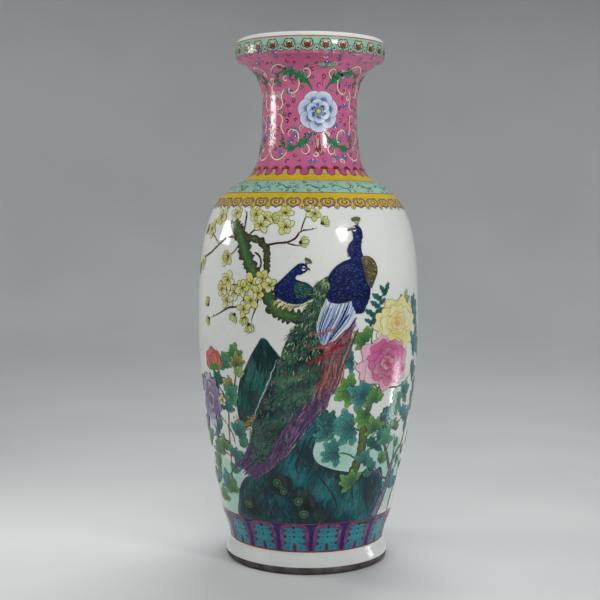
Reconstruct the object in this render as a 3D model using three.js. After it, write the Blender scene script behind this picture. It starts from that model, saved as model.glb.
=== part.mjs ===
// A large porcelain baluster vase with a dish mouth and a splayed foot.
// It is five wheel-thrown sections, stacked on the Z axis and luted together with rings of slip:
// foot ring, lower body with the floor, upper body with the shoulder, neck, and mouth collar.
// Millimetres, +Z up, origin on the surface that the vase stands on, front of the vase towards -Y.

import * as THREE from "three";

// Driving dimensions.
const HEIGHT = 610;
const BELLY_RADIUS = 129.9;
const NECK_RADIUS = 55.2;
const COLLAR_RADIUS = 86.6;
const FOOT_RADIUS = 96.4;
const FOOT_INNER_RADIUS = 78;
const FLOOR_HEIGHT = 34;
const SEGMENTS = 48;

// Heights of the luted joints, and the slip that fills each one.
const FOOT_JOINT = 24;
const BELLY_JOINT = 250;
const NECK_JOINT = 449;
const MOUTH_JOINT = 578;
const SLIP_THICKNESS = 1.2;
const SLIP_BEAD = 1.6;

// The lip is a half round on top of the collar wall.
const LIP_RADIUS = 4.3;
const LIP_HEIGHT = HEIGHT - LIP_RADIUS;
const LIP_CENTRE = COLLAR_RADIUS - LIP_RADIUS;
const COLLAR_INNER_RADIUS = LIP_CENTRE - LIP_RADIUS;

const GLAZED_WHITE = 0xe9ebe8;
const FIRED_SLIP = 0xdcd7cb;

const point = (radius, height) => new THREE.Vector2(radius, height);

// Smooth walls as [radius, height] points, from the bottom up.
const bodyOutside = smooth([
  [90.7, FOOT_JOINT],
  [94, 38],
  [101.2, 60],
  [113.2, 119],
  [122.5, 177],
  [128.4, 235],
  [BELLY_RADIUS, 282],
  [128.8, 335],
  [124, 378],
  [116.2, 406],
  [104, 427],
  [87.4, 441],
  [73.6, NECK_JOINT],
]);
const bodyInside = smooth([
  [88, 52],
  [95, 76],
  [105, 119],
  [115.2, 177],
  [121.6, 235],
  [123.2, 282],
  [122, 335],
  [117, 378],
  [108.6, 406],
  [95, 427],
  [77, 440],
  [63.5, NECK_JOINT],
]);
const neckOutside = smooth([
  [73.6, NECK_JOINT],
  [67.6, 456],
  [61.5, 470],
  [57, 491],
  [NECK_RADIUS, 524],
  [55.8, 547],
  [59.4, 562],
  [63.4, 570],
  [70.6, MOUTH_JOINT],
]);
const neckInside = smooth([
  [63.5, NECK_JOINT],
  [60, 457],
  [54.8, 470],
  [51, 491],
  [49.2, 524],
  [49.6, 547],
  [52.2, 561],
  [55.4, 570],
  [60.6, MOUTH_JOINT],
]);

function smooth(points) {
  return new THREE.SplineCurve(points.map(([radius, height]) => point(radius, height)));
}

// The point of a wall curve at one height. Height rises all along the curve.
function wallAt(curve, height) {
  let low = 0;
  let high = 1;
  for (let i = 0; i < 40; i++) {
    const middle = (low + high) / 2;
    if (curve.getPoint(middle).y < height) low = middle;
    else high = middle;
  }
  return { at: low, point: point(curve.getPoint(low).x, height) };
}

// The stretch of a wall curve between two heights, as points in the order asked for.
function wall(curve, from, to, steps) {
  const start = wallAt(curve, from);
  const end = wallAt(curve, to);
  const points = [start.point];
  for (let i = 1; i < steps; i++) {
    points.push(curve.getPoint(start.at + ((end.at - start.at) * i) / steps));
  }
  return [...points, end.point];
}

// Points on a circular arc, from one angle to another in degrees.
function arc(radius, height, size, from, to, steps) {
  return Array.from({ length: steps + 1 }, (_, i) => {
    const angle = THREE.MathUtils.degToRad(from + ((to - from) * i) / steps);
    return point(radius + size * Math.cos(angle), height + size * Math.sin(angle));
  });
}

// Turns a closed outline of [radius, height] points, anticlockwise, round the Z axis.
function turned(name, outline, colour, roughness) {
  const closed = outline[0].x === 0 ? outline : [...outline, outline[0].clone()];
  const geometry = new THREE.LatheGeometry(closed, SEGMENTS).rotateX(Math.PI / 2);
  const mesh = new THREE.Mesh(
    geometry,
    new THREE.MeshStandardMaterial({ color: colour, roughness, metalness: 0 }),
  );
  mesh.name = name;
  return mesh;
}

// The splayed ring that the vase stands on, with a rounded bare edge where it meets the table.
function footRing() {
  const top = FOOT_JOINT - SLIP_THICKNESS / 2;
  const edge = 5.4;
  return turned("foot_ring", [
    point(FOOT_INNER_RADIUS, top),
    point(FOOT_INNER_RADIUS, 3),
    point(FOOT_INNER_RADIUS + 1, 0.8),
    point(FOOT_INNER_RADIUS + 2.6, 0),
    ...arc(FOOT_RADIUS - edge, edge, edge, -90, 0, 4),
    point(95.9, 11.5),
    point(94.2, 16),
    point(92.2, 20),
    point(90.9, 22.2),
    point(90.6, top),
  ], GLAZED_WHITE, 0.15);
}

// The lower half of the belly, thrown in one with the floor.
function lowerBody() {
  const bottom = FOOT_JOINT + SLIP_THICKNESS / 2;
  const top = BELLY_JOINT - SLIP_THICKNESS / 2;
  const fillet = bodyInside.getPoint(0).y - FLOOR_HEIGHT;
  return turned("lower_body", [
    point(0, bottom),
    point(FOOT_INNER_RADIUS / 2, bottom),
    ...wall(bodyOutside, bottom, top, 9),
    ...wall(bodyInside, top, bodyInside.getPoint(0).y, 6),
    ...arc(bodyInside.getPoint(0).x - fillet, FLOOR_HEIGHT + fillet, fillet, -22.5, -90, 3),
    point(FOOT_INNER_RADIUS / 2, FLOOR_HEIGHT),
    point(0, FLOOR_HEIGHT),
  ], GLAZED_WHITE, 0.15);
}

// The upper half of the belly and the shoulder, open at both ends.
function upperBody() {
  const bottom = BELLY_JOINT + SLIP_THICKNESS / 2;
  const top = NECK_JOINT - SLIP_THICKNESS / 2;
  return turned("upper_body", [
    ...wall(bodyOutside, bottom, top, 13),
    ...wall(bodyInside, top, bottom, 9),
  ], GLAZED_WHITE, 0.15);
}

// The waisted neck, open at both ends.
function neck() {
  const bottom = NECK_JOINT + SLIP_THICKNESS / 2;
  const top = MOUTH_JOINT - SLIP_THICKNESS / 2;
  return turned("neck", [
    ...wall(neckOutside, bottom, top, 11),
    ...wall(neckInside, top, bottom, 8),
  ], GLAZED_WHITE, 0.15);
}

// The dish mouth: a flaring underside, an upright collar wall and a half-round lip.
function mouthCollar() {
  const bottom = MOUTH_JOINT + SLIP_THICKNESS / 2;
  const corner = 5;
  return turned("mouth_collar", [
    point(71.2, bottom),
    point(75.4, 581.6),
    point(80.4, 584.4),
    ...arc(COLLAR_RADIUS - corner, 590, corner, -60, 0, 3),
    ...arc(LIP_CENTRE, LIP_HEIGHT, LIP_RADIUS, 0, 180, 6),
    point(COLLAR_INNER_RADIUS, 596),
    point(76.6, 592),
    point(72.6, 588.2),
    point(66.6, 584),
    point(61, bottom),
  ], GLAZED_WHITE, 0.15);
}

// A fired ring of luting slip: it fills the joint and ends inside in a low rounded bead.
function slipRing(name, height, outside, inside) {
  const bottom = height - SLIP_THICKNESS / 2;
  const top = height + SLIP_THICKNESS / 2;
  return turned(name, [
    point(inside - SLIP_BEAD, bottom + SLIP_THICKNESS / 4),
    point(inside - SLIP_BEAD / 2, bottom),
    point(outside, bottom),
    point(outside, top),
    point(inside - SLIP_BEAD / 2, top),
    point(inside - SLIP_BEAD, top - SLIP_THICKNESS / 4),
  ], FIRED_SLIP, 0.6);
}

function slipRings() {
  const joint = (name, height, outside, inside) =>
    slipRing(name, height, wallAt(outside, height).point.x, wallAt(inside, height).point.x);
  return [
    slipRing("slip_joint_foot", FOOT_JOINT, 90.6, FOOT_INNER_RADIUS + SLIP_BEAD),
    joint("slip_joint_belly", BELLY_JOINT, bodyOutside, bodyInside),
    joint("slip_joint_neck", NECK_JOINT, neckOutside, neckInside),
    joint("slip_joint_mouth", MOUTH_JOINT, neckOutside, neckInside),
  ];
}

const vase = new THREE.Group();
vase.add(footRing(), lowerBody(), upperBody(), neck(), mouthCollar(), ...slipRings());

export default vase;
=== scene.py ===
"""A tall porcelain baluster vase, glazed and painted in overglaze enamels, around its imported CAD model.

Everything is drawn in millimetres on the glaze, by azimuth (0 at the front, + to the right) and height.
"""

import math
import random

import bpy
import numpy as np
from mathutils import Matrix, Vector
from mathutils.geometry import delaunay_2d_cdt


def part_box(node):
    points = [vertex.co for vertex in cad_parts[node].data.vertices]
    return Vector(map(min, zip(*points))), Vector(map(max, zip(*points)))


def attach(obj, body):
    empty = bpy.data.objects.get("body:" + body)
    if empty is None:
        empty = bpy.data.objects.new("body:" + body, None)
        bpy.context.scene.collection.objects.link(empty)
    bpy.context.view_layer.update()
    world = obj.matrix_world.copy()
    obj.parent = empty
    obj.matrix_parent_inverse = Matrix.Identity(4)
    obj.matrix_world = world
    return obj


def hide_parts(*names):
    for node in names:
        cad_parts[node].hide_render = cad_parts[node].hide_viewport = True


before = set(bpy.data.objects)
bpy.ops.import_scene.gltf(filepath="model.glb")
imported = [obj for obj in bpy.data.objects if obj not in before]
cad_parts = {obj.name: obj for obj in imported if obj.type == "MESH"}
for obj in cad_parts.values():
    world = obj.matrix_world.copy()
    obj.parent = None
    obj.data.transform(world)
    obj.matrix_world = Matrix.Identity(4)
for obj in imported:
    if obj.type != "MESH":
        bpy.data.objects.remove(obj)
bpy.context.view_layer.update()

MM = 0.001
SEGMENTS = 192

# The glaze's thickness and the height where it ends at the foot, in millimetres.
GLAZE = 0.35
EDGE_OF_GLAZE = 5.6

# Corners of the CAD wall that are nearer to each other than this belong to one slip joint.
JOINT = 1.5
LIP_TOP = 610

# Heights of the painted borders, in millimetres above the table.
LIP_LINE = 604.6
COLLAR_EDGE = 590.2
NECK_FOOT = 451.4
YELLOW_LINE = 445.8
TURQUOISE_BAND = 431.4
YELLOW_BAND = 424.4
PANEL_TOP = 60.4
PANEL_FOOT = 25.4

# How far each kind of paint stands above the glaze.
GROUND = 0.05
FILL = 0.09
LINE_GAP = 0.006
LINE_DOME = 0.008
LAYER = 0.024
SUNK = -0.04

# How far a ridge's normals lean to its sides, and how quickly a brush stroke swells and thins out.
LEAN = 0.3
SWELL = 0.6
THIN_OUT = 0.7

# Radii of the belly that turn angles into widths, in millimetres: for smooth paths, for washes and
# mottled tones, and for the small hollows.
PATH_RADIUS = 120
TONE_RADIUS = 110
HOLLOW_RADIUS = 100


def rgb(red, green, blue):
    """A colour given as it looks on a screen, as the linear values that a shader takes."""
    return tuple(
        c / 12.92 if c <= 0.04045 else ((c + 0.055) / 1.055) ** 2.4
        for c in (red / 255, green / 255, blue / 255)
    )


def tints(*screen_values):
    """Several colours, each given as it looks on a screen."""
    return tuple(rgb(*values) for values in screen_values)


ROSE = rgb(214, 108, 152)
CORAL = rgb(206, 62, 66)
YELLOW = rgb(218, 190, 34)
PALE_YELLOW = rgb(232, 226, 140)
LEMON = rgb(224, 222, 128)
TURQUOISE = rgb(160, 208, 188)
PALE_TURQUOISE = rgb(160, 200, 180)
COBALT = rgb(24, 44, 128)
NAVY = rgb(8, 16, 58)
VIOLET = rgb(44, 34, 122)
BLUE_WHITE = rgb(196, 214, 238)
SOFT_BLUE = rgb(110, 146, 206)
MAGENTA = rgb(146, 70, 140)
PURPLE = rgb(112, 70, 130)
RED = rgb(158, 34, 28)
RUST = rgb(150, 62, 30)
BROWN = rgb(92, 60, 34)
DARK_BROWN = rgb(52, 34, 22)
GOLD = rgb(176, 138, 40)
INK = rgb(26, 22, 24)
MAUVE = rgb(134, 96, 128)
CREAM = rgb(240, 230, 200)
WHITE = rgb(244, 244, 240)
LEAF = rgb(66, 150, 52)
LEAF_PALE = rgb(132, 190, 84)
LEAF_DARK = rgb(22, 92, 48)
TEAL = rgb(26, 122, 108)
TEAL_DARK = rgb(10, 74, 74)
TEAL_PALE = rgb(84, 176, 168)
JADE = rgb(20, 132, 92)
MINT = rgb(160, 222, 200)
MOSS = rgb(96, 132, 52)
DEEP_GREEN = rgb(20, 62, 52)


# ---------------------------------------------------------------- curves


def curve(points, step, closed=False):
    """A smooth curve through points, with a point about every step."""
    p = np.asarray(points, float)
    if closed:
        p = np.vstack([p[-1:], p, p[:2]])
    else:
        p = np.vstack([2 * p[0] - p[1], p, 2 * p[-1] - p[-2]])
    gaps = np.linalg.norm(np.diff(p, axis=0), axis=1).clip(1e-6)
    slopes = np.diff(p, axis=0) / gaps[:, None]
    before, after = gaps[:-1, None], gaps[1:, None]
    tangents = (slopes[:-1] * after + slopes[1:] * before) / (before + after)
    runs = []
    for i in range(1, len(p) - 2):
        count = max(1, math.ceil(gaps[i] / step))
        t = np.arange(count)[:, None] / count
        runs.append(
            p[i] * (1 + 2 * t) * (1 - t) ** 2
            + tangents[i - 1] * gaps[i] * t * (1 - t) ** 2
            + p[i + 1] * t * t * (3 - 2 * t)
            + tangents[i] * gaps[i] * t * t * (t - 1)
        )
    runs = np.vstack(runs)
    return runs if closed else np.vstack([runs, p[-2]])


def resample(path, count):
    """count points at equal distances along a path."""
    path = np.asarray(path, float)
    length = np.concatenate([[0], np.cumsum(np.linalg.norm(np.diff(path, axis=0), axis=1))])
    at = np.linspace(0, length[-1], count)
    return np.column_stack([np.interp(at, length, path[:, k]) for k in range(path.shape[1])])


def mix(a, b, t):
    """The colour or point that lies a part t of the way from a to b."""
    t = np.clip(np.asarray(t, float), 0, 1)[..., None]
    return np.asarray(a) * (1 - t) + np.asarray(b) * t


def wall_points(away):
    """[radius, height] of the CAD wall's corners at azimuth 0, outside (away 1) or inside (away -1)."""
    found = set()
    below_the_floor = ("foot_ring", "slip_joint_foot")
    for name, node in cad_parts.items():
        if away < 0 and name in below_the_floor:
            continue
        mesh = node.data
        for face in mesh.polygons:
            centre = face.center
            if away * (face.normal.x * centre.x + face.normal.y * centre.y) < 1e-5:
                continue
            for v in face.vertices:
                x, y, z = mesh.vertices[v].co / MM
                if abs(x) < 0.01 and y < -1:
                    found.add((round(-y, 2), round(z, 2)))
    groups = []
    for point in sorted(found, key=lambda p: (p[1], p[0] * -away)):
        if groups and math.dist(point, groups[-1][0]) < JOINT:
            groups[-1].append(point)
        else:
            groups.append([point])
    middles = np.array([np.mean(group, axis=0) for group in groups])
    along = np.gradient(middles, axis=0)
    kept = [max(group, key=lambda p: away * (p[0] * v - p[1] * u)) for group, (u, v) in zip(groups, along)]
    return np.array(kept)


def offset(path, distance):
    """A path moved to its right-hand side by distance."""
    step = np.gradient(path, axis=0)
    step /= np.linalg.norm(step, axis=1)[:, None].clip(1e-9)
    return path + distance * np.column_stack([step[:, 1], -step[:, 0]])


class Skin:
    """The outer face of the glaze: a place on it is an angle and a distance along its profile."""

    def __init__(self, wall):
        self.path = offset(wall, GLAZE)
        step = np.gradient(self.path, axis=0)
        step /= np.linalg.norm(step, axis=1)[:, None]
        self.normal = np.column_stack([step[:, 1], -step[:, 0]])
        gaps = np.linalg.norm(np.diff(self.path, axis=0), axis=1)
        self.s = np.concatenate([[0], np.cumsum(gaps)])

    def at_height(self, height):
        return np.interp(height, self.path[:, 1], self.s)

    def radius(self, s):
        return np.interp(s, self.s, self.path[:, 0])

    def profile(self, s):
        """Radius, height, and the normal's two parts."""
        parts = (self.path[:, 0], self.path[:, 1], self.normal[:, 0], self.normal[:, 1])
        return [np.interp(s, self.s, part) for part in parts]

    def place(self, theta, s, lift):
        """Points in millimetres, with the glaze's own axes there: across, up the profile, and out."""
        r, z, nr, nz = self.profile(s)
        sin, cos = np.sin(theta), np.cos(theta)
        out = np.column_stack([nr * sin, -nr * cos, nz])
        up = np.column_stack([-nz * sin, nz * cos, nr])
        across = np.column_stack([cos, sin, np.zeros_like(sin)])
        return np.column_stack([r * sin, -r * cos, z]) + out * lift[:, None], across, up, out


# ---------------------------------------------------------------- materials


def nodes_of(name, roughness):
    """A new material, its node tree and its shader."""
    material = bpy.data.materials.new(name)
    material.use_nodes = True
    tree = material.node_tree
    shader = tree.nodes["Principled BSDF"]
    shader.inputs["Roughness"].default_value = roughness
    shader.inputs["IOR"].default_value = 1.5
    return material, tree, shader


def noise(tree, scale, detail, stretch=None):
    """Noise in the object's own space; scale is lumps per metre."""
    place = tree.nodes.new("ShaderNodeTexCoord")
    texture = tree.nodes.new("ShaderNodeTexNoise")
    texture.inputs["Scale"].default_value = scale
    texture.inputs["Detail"].default_value = detail
    source = place.outputs["Object"]
    if stretch:
        mapping = tree.nodes.new("ShaderNodeMapping")
        mapping.inputs["Scale"].default_value = stretch
        tree.links.new(source, mapping.inputs["Vector"])
        source = mapping.outputs["Vector"]
    tree.links.new(source, texture.inputs["Vector"])
    return texture.outputs["Fac"]


def ramp(tree, source, low, high, at=(0.35, 0.65)):
    """Maps a factor to colours or greys between low and high."""
    node = tree.nodes.new("ShaderNodeValToRGB")
    for element, where, colour in zip(node.color_ramp.elements, at, (low, high)):
        element.position = where
        element.color = (*colour, 1) if isinstance(colour, tuple) else (colour, colour, colour, 1)
    tree.links.new(source, node.inputs["Fac"])
    return node.outputs["Color"]


def blend(tree, kind, factor, a, b):
    """A colour mix node; factor, a and b are sockets or values."""
    node = tree.nodes.new("ShaderNodeMix")
    node.data_type = "RGBA"
    node.blend_type = kind
    for socket, value in ((0, factor), (6, a), (7, b)):
        if isinstance(value, bpy.types.NodeSocket):
            tree.links.new(value, node.inputs[socket])
        else:
            node.inputs[socket].default_value = (*value, 1) if isinstance(value, tuple) else value
    return node.outputs[2]


def bump(tree, shader, height, strength, distance):
    """Fine relief on a shader; distance is its depth in metres."""
    node = tree.nodes.new("ShaderNodeBump")
    node.inputs["Strength"].default_value = strength
    node.inputs["Distance"].default_value = distance
    tree.links.new(height, node.inputs["Height"])
    tree.links.new(node.outputs["Normal"], shader.inputs["Normal"])


def glaze_material():
    """Clear glaze on white porcelain: faint clouds, rare iron specks, orange peel and throwing rings."""
    material, tree, shader = nodes_of("glazed_porcelain", 0.1)
    clouds = ramp(tree, noise(tree, 9, 3), rgb(226, 230, 226), rgb(240, 240, 236), (0.35, 0.7))
    specks = ramp(tree, noise(tree, 420, 1), rgb(120, 104, 84), 1.0, (0.19, 0.215))
    tree.links.new(blend(tree, "MULTIPLY", 0.5, clouds, specks), shader.inputs["Base Color"])
    tree.links.new(ramp(tree, noise(tree, 30, 2), 0.07, 0.13), shader.inputs["Roughness"])
    rings = noise(tree, 12, 1, stretch=(0.4, 0.4, 8))
    peel = noise(tree, 95, 2)
    bump(tree, shader, blend(tree, "MIX", 0.35, rings, peel), 0.55, 0.0007)
    return material


def biscuit_material():
    """Bare fired porcelain: matt, with kiln grit and stains; its dark grey is painted shade on the foot's
    bare edge.
    """
    material, tree, shader = nodes_of("bare_porcelain", 0.8)
    # The dark purple-grey is painted shade under the foot's rounded bare edge, laid over the stains.
    stains_and_painted_shade = ramp(tree, noise(tree, 60, 4), rgb(52, 46, 50), rgb(116, 108, 110), (0.3, 0.75))
    tree.links.new(stains_and_painted_shade, shader.inputs["Base Color"])
    bump(tree, shader, noise(tree, 900, 3), 0.5, 0.0003)
    return material


def body_material():
    """Porcelain under the glaze, and its joints of fired slip."""
    material, tree, shader = nodes_of("porcelain_body", 0.6)
    tone = ramp(tree, noise(tree, 40, 3), rgb(214, 208, 196), rgb(232, 228, 218))
    tree.links.new(tone, shader.inputs["Base Color"])
    bump(tree, shader, noise(tree, 500, 2), 0.3, 0.0002)
    return material


def enamel_material(name, roughness, variety, pooling, grain, relief, thin=0.0, gloss=0.36):
    """An enamel that takes its pigment from the mesh. variety darkens it in brush-sized patches, pooling
    in larger clouds, and thin lets the white porcelain through in streaks of the brush."""
    material, tree, shader = nodes_of(name, roughness)
    shader.inputs["Specular IOR Level"].default_value = gloss
    pigment = tree.nodes.new("ShaderNodeAttribute")
    pigment.attribute_name = "pigment"
    colour = pigment.outputs["Color"]
    if thin:
        streaks = ramp(tree, noise(tree, grain * 0.6, 3, stretch=(1, 1, 0.35)), 0.0, thin, (0.5, 0.78))
        colour = blend(tree, "MIX", streaks, colour, rgb(228, 236, 232))
    patches = ramp(tree, noise(tree, grain, 3), 1 - variety, 1 + variety * 0.5, (0.3, 0.7))
    clouds = ramp(tree, noise(tree, 45, 2), 1 - pooling, 1.0, (0.3, 0.65))
    for shadow in (patches, clouds):
        colour = blend(tree, "MULTIPLY", 1.0, colour, shadow)
    tree.links.new(colour, shader.inputs["Base Color"])
    gloss_patches = ramp(tree, noise(tree, grain * 0.5, 2), roughness * 0.7, roughness * 1.5)
    tree.links.new(gloss_patches, shader.inputs["Roughness"])
    bump(tree, shader, noise(tree, grain * 1.2, 2), 0.6, relief)
    return material


# Each enamel's roughness, variety, pooling, grain and relief, and what sets it apart.
ENAMELS = {
    "enamel_rose": (0.08, 0.16, 0.12, 420, 0.00024, {"gloss": 0.5}),
    "enamel_yellow": (0.16, 0.10, 0.08, 380, 0.00012, {"thin": 0.08}),
    "enamel_turquoise": (0.13, 0.12, 0.10, 420, 0.00015, {}),
    "enamel_green": (0.1, 0.26, 0.20, 300, 0.00018, {"thin": 0.07}),
    "enamel_blue": (0.1, 0.34, 0.14, 520, 0.0002, {}),
    "enamel_purple": (0.12, 0.26, 0.16, 420, 0.00016, {"thin": 0.2}),
    "enamel_red": (0.3, 0.22, 0.12, 420, 0.0001, {"thin": 0.2}),
    "enamel_brown": (0.26, 0.26, 0.14, 500, 0.00016, {"thin": 0.2}),
    "enamel_white": (0.2, 0.08, 0.06, 400, 0.00012, {}),
    "enamel_outline": (0.32, 0.2, 0.1, 500, 0.00006, {"thin": 0.15}),
}
MATERIALS = {
    "glazed_porcelain": glaze_material(),
    "bare_porcelain": biscuit_material(),
    "fired_slip": body_material(),
}
for enamel_name, (*finish, special) in ENAMELS.items():
    MATERIALS[enamel_name] = enamel_material(enamel_name, *finish, **special)


# ---------------------------------------------------------------- mesh


def make_piece(name, slot, points, faces, colours, normals=None, crease=None):
    """A mesh object from millimetre points that rides on the vase."""
    mesh = bpy.data.meshes.new(name)
    mesh.from_pydata((np.asarray(points) * MM).tolist(), [], faces)
    mesh.shade_smooth()
    if crease:
        mesh.set_sharp_from_angle(angle=math.radians(crease))
    if colours is not None:
        layer = mesh.color_attributes.new("pigment", "FLOAT_COLOR", "POINT")
        rgba = np.column_stack([colours, np.ones(len(colours))])
        layer.data.foreach_set("color", rgba.astype(np.float32).ravel())
    if normals is not None:
        mesh.normals_split_custom_set_from_vertices(normals.tolist())
    mesh.materials.append(MATERIALS[slot])
    piece = bpy.data.objects.new(name, mesh)
    bpy.context.scene.collection.objects.link(piece)
    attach(piece, "root")
    return piece


def lathe(name, slot, loop, crease, colour=None, segments=SEGMENTS):
    """A closed solid turned from a loop of [radius, height] points; one that ends on the axis closes there.
    Edges sharper than crease, in degrees, stay sharp."""
    loop = np.asarray(loop, float)
    after = np.roll(loop, -1, axis=0)
    if (loop[:, 0] * after[:, 1] - after[:, 0] * loop[:, 1]).sum() < 0:
        loop = loop[::-1]
    theta = np.arange(segments) * 2 * math.pi / segments
    points, index = [], np.zeros((segments, len(loop)), int)
    for j, (r, z) in enumerate(loop):
        if r < 1e-6:
            index[:, j] = len(points)
            points.append((0, 0, z))
        else:
            index[:, j] = len(points) + np.arange(segments)
            points += np.column_stack([r * np.sin(theta), -r * np.cos(theta), np.full(segments, z)]).tolist()
    on_axis = loop[0, 0] < 1e-6 and loop[-1, 0] < 1e-6
    faces = []
    for j in range(len(loop) - (1 if on_axis else 0)):
        k = (j + 1) % len(loop)
        for i in range(segments):
            n = (i + 1) % segments
            corners = (index[i, j], index[n, j], index[n, k], index[i, k])
            faces.append([int(c) for c in dict.fromkeys(corners)])
    colours = None if colour is None else np.tile(colour, (len(points), 1))
    return make_piece(name, slot, points, faces, colours, crease=crease)


def triangulated(flat, grid):
    """The inside of an outline as points and triangles, and the edges round it, in millimetres."""
    points = np.vstack([flat, *grid_inside(flat, grid)])
    edges = [(i, (i + 1) % len(flat)) for i in range(len(flat))]
    found, _, triangles, *_ = delaunay_2d_cdt([Vector(p) for p in points], edges, [], 1, 1e-5)
    used = sorted({v for face in triangles for v in face})
    renumber = {v: i for i, v in enumerate(used)}
    triangles = [[renumber[v] for v in face] for face in triangles]
    sides = {(a, b): 1 for face in triangles for a, b in zip(face, face[1:] + face[:1])}
    rim = [(a, b) for (a, b) in sides if (b, a) not in sides]
    return np.array([tuple(p) for p in found])[used], triangles, rim


def swelling(t, taper):
    """A brush stroke's width along its length t, as a part of its full width."""
    start, end = (max(part, 1e-3) for part in taper)
    return np.clip(t / start, 0, 1) ** SWELL * np.clip((1 - t) / end, 0, 1) ** THIN_OUT


def ridge_faces(m):
    """A closed ridge over three rows of m points: left, top and right, and then its start and end."""
    left, top, right = np.arange(m), np.arange(m) + m, np.arange(m) + 2 * m
    start, end = 3 * m, 3 * m + 1
    faces = []
    for a in range(m - 1):
        for side, other in ((left, top), (top, right), (right, left)):
            faces.append((side[a], other[a], other[a + 1], side[a + 1]))
    faces += [(start, top[0], left[0]), (start, right[0], top[0]), (start, left[0], right[0])]
    faces += [(end, left[-1], top[-1]), (end, top[-1], right[-1]), (end, right[-1], left[-1])]
    return faces


class Enamel:
    """One fired colour: closed patches and strokes on the glaze, gathered into one mesh."""

    def __init__(self, name, slot):
        self.name, self.slot = name, slot
        self.parts, self.faces, self.count = [], [], 0

    def add(self, theta, s, lift, tilt, colour, faces):
        """Adds points with their heights above the glaze, normals' tilts, colours, and faces between them."""
        n = len(theta)
        colour = np.broadcast_to(np.asarray(colour, float), (n, 3))
        self.parts.append(np.column_stack([theta, s, lift, tilt, colour]))
        self.faces.extend([[int(v) + self.count for v in face] for face in faces])
        self.count += n

    def fill(self, outline, colour, lift, grid=3.0):
        """A patch inside a (theta, s) outline. The colour is one colour or a function of (theta, s)."""
        outline = np.asarray(outline, float)
        scale = mean_radius(outline)
        found, triangles, rim = triangulated(outline * (scale, 1), grid)
        count = len(found)
        theta, s = found[:, 0] / scale, found[:, 1]
        shade = colour(theta, s) if callable(colour) else colour
        faces = triangles + [[v + count for v in reversed(face)] for face in triangles]
        faces += [[b, a, a + count, b + count] for a, b in rim]
        lifts = np.concatenate([np.full(count, lift), np.full(count, SUNK)])
        tilt = np.zeros((2 * count, 3))
        tilt[:count, 2], tilt[count:, 2] = 1, -1
        shade = np.broadcast_to(np.asarray(shade, float), (count, 3))
        self.add(np.tile(theta, 2), np.tile(s, 2), lifts, tilt, np.vstack([shade, shade]), faces)

    def stroke(self, path, width, colour, lift, dome=LINE_DOME, taper=(0.15, 0.3), step=1.6):
        """A brush stroke along (theta, s) points: a low ridge that thins towards its ends. colour is one
        colour or two, for its start and end. taper is how much of the length each end thins over."""
        path = np.asarray(path, float)
        scale = mean_radius(path)
        flat = path * (scale, 1)
        length = np.linalg.norm(np.diff(flat, axis=0), axis=1).sum()
        if length < 0.05:
            return
        count = max(4, int(length / step) + 2)
        flat = resample(flat, count)
        along = np.gradient(flat, axis=0)
        along /= np.linalg.norm(along, axis=1)[:, None].clip(1e-9)
        side = np.column_stack([-along[:, 1], along[:, 0]])
        t = np.linspace(0, 1, count)
        half = (width / 2 * swelling(t, taper))[1:-1, None]
        middle, side, m = flat[1:-1], side[1:-1], count - 2
        points = np.vstack([middle + side * half, middle, middle - side * half, flat[:1], flat[-1:]])
        lifts = np.full(3 * m + 2, lift)
        lifts[m : 2 * m] += dome
        tilt = np.zeros((3 * m + 2, 3))
        tilt[:, 2] = 1
        tilt[:m, :2], tilt[2 * m : 3 * m, :2] = side * LEAN, -side * LEAN
        if isinstance(colour[0], (tuple, list, np.ndarray)):
            tone = mix(colour[0], colour[1], t[1:-1])
            colour = np.vstack([tone, tone, tone, [colour[0]], [colour[1]]])
        self.add(points[:, 0] / scale, points[:, 1], lifts, tilt, colour, ridge_faces(m))

    def outline(self, path, width, colour, lift):
        """A line round a closed outline, as wide at its start as anywhere."""
        path = np.asarray(path, float)
        self.stroke(np.vstack([path, path[:1]]), width, colour, lift, taper=(0.02, 0.02), step=1.2)

    def dot(self, spot, x, y, radius, colour, lift, sides, stretch=1.0):
        """A round or oval spot of paint."""
        a = np.arange(sides) * 2 * math.pi / sides
        ring = np.column_stack([x + radius * np.cos(a), y + radius * stretch * np.sin(a)])
        self.fill(spot(ring), colour, lift, grid=max(2.5, radius))

    def finish(self):
        """Wraps what was drawn onto the glaze and makes the piece."""
        data = np.vstack(self.parts)
        points, across, up, out = skin.place(data[:, 0], data[:, 1], data[:, 2])
        normals = across * data[:, 3:4] + up * data[:, 4:5] + out * data[:, 5:6]
        normals /= np.linalg.norm(normals, axis=1)[:, None]
        return make_piece(self.name, self.slot, points, self.faces, data[:, 6:9], normals)


class Paints:
    """The enamels of one part of the decoration, with one piece for each pigment that it uses."""

    def __init__(self, part):
        self.part, self.made = part, {}

    def __call__(self, pigment):
        if pigment not in self.made:
            self.made[pigment] = Enamel(f"{self.part}_{pigment}", f"enamel_{pigment}")
        return self.made[pigment]

    def patch(self, pigment, outline, colour, lift, grid, width, line):
        """A patch of one enamel with a dark line round it."""
        self(pigment).fill(outline, colour, lift, grid)
        self("outline").outline(outline, width, line, lift + LINE_GAP)

    def finish(self):
        for enamel in self.made.values():
            enamel.finish()


def mean_radius(path):
    """The glaze's mean radius along a path of (theta, s) points."""
    return float(np.mean(skin.radius(path[:, 1])))


def inside(points, outline):
    """Which points lie inside a closed outline."""
    x, y = points[:, 0], points[:, 1]
    result = np.zeros(len(points), bool)
    for (x0, y0), (x1, y1) in zip(outline, np.roll(outline, -1, axis=0)):
        crosses = (y0 > y) != (y1 > y)
        if crosses.any():
            at = (x1 - x0) * (y[crosses] - y0) / (y1 - y0) + x0
            result[crosses] ^= x[crosses] < at
    return result


def gaps_to(points, outline):
    """How far each point is from the nearest point of an outline."""
    return np.min(np.linalg.norm(points[:, None] - outline[None], axis=2), axis=1)


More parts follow.
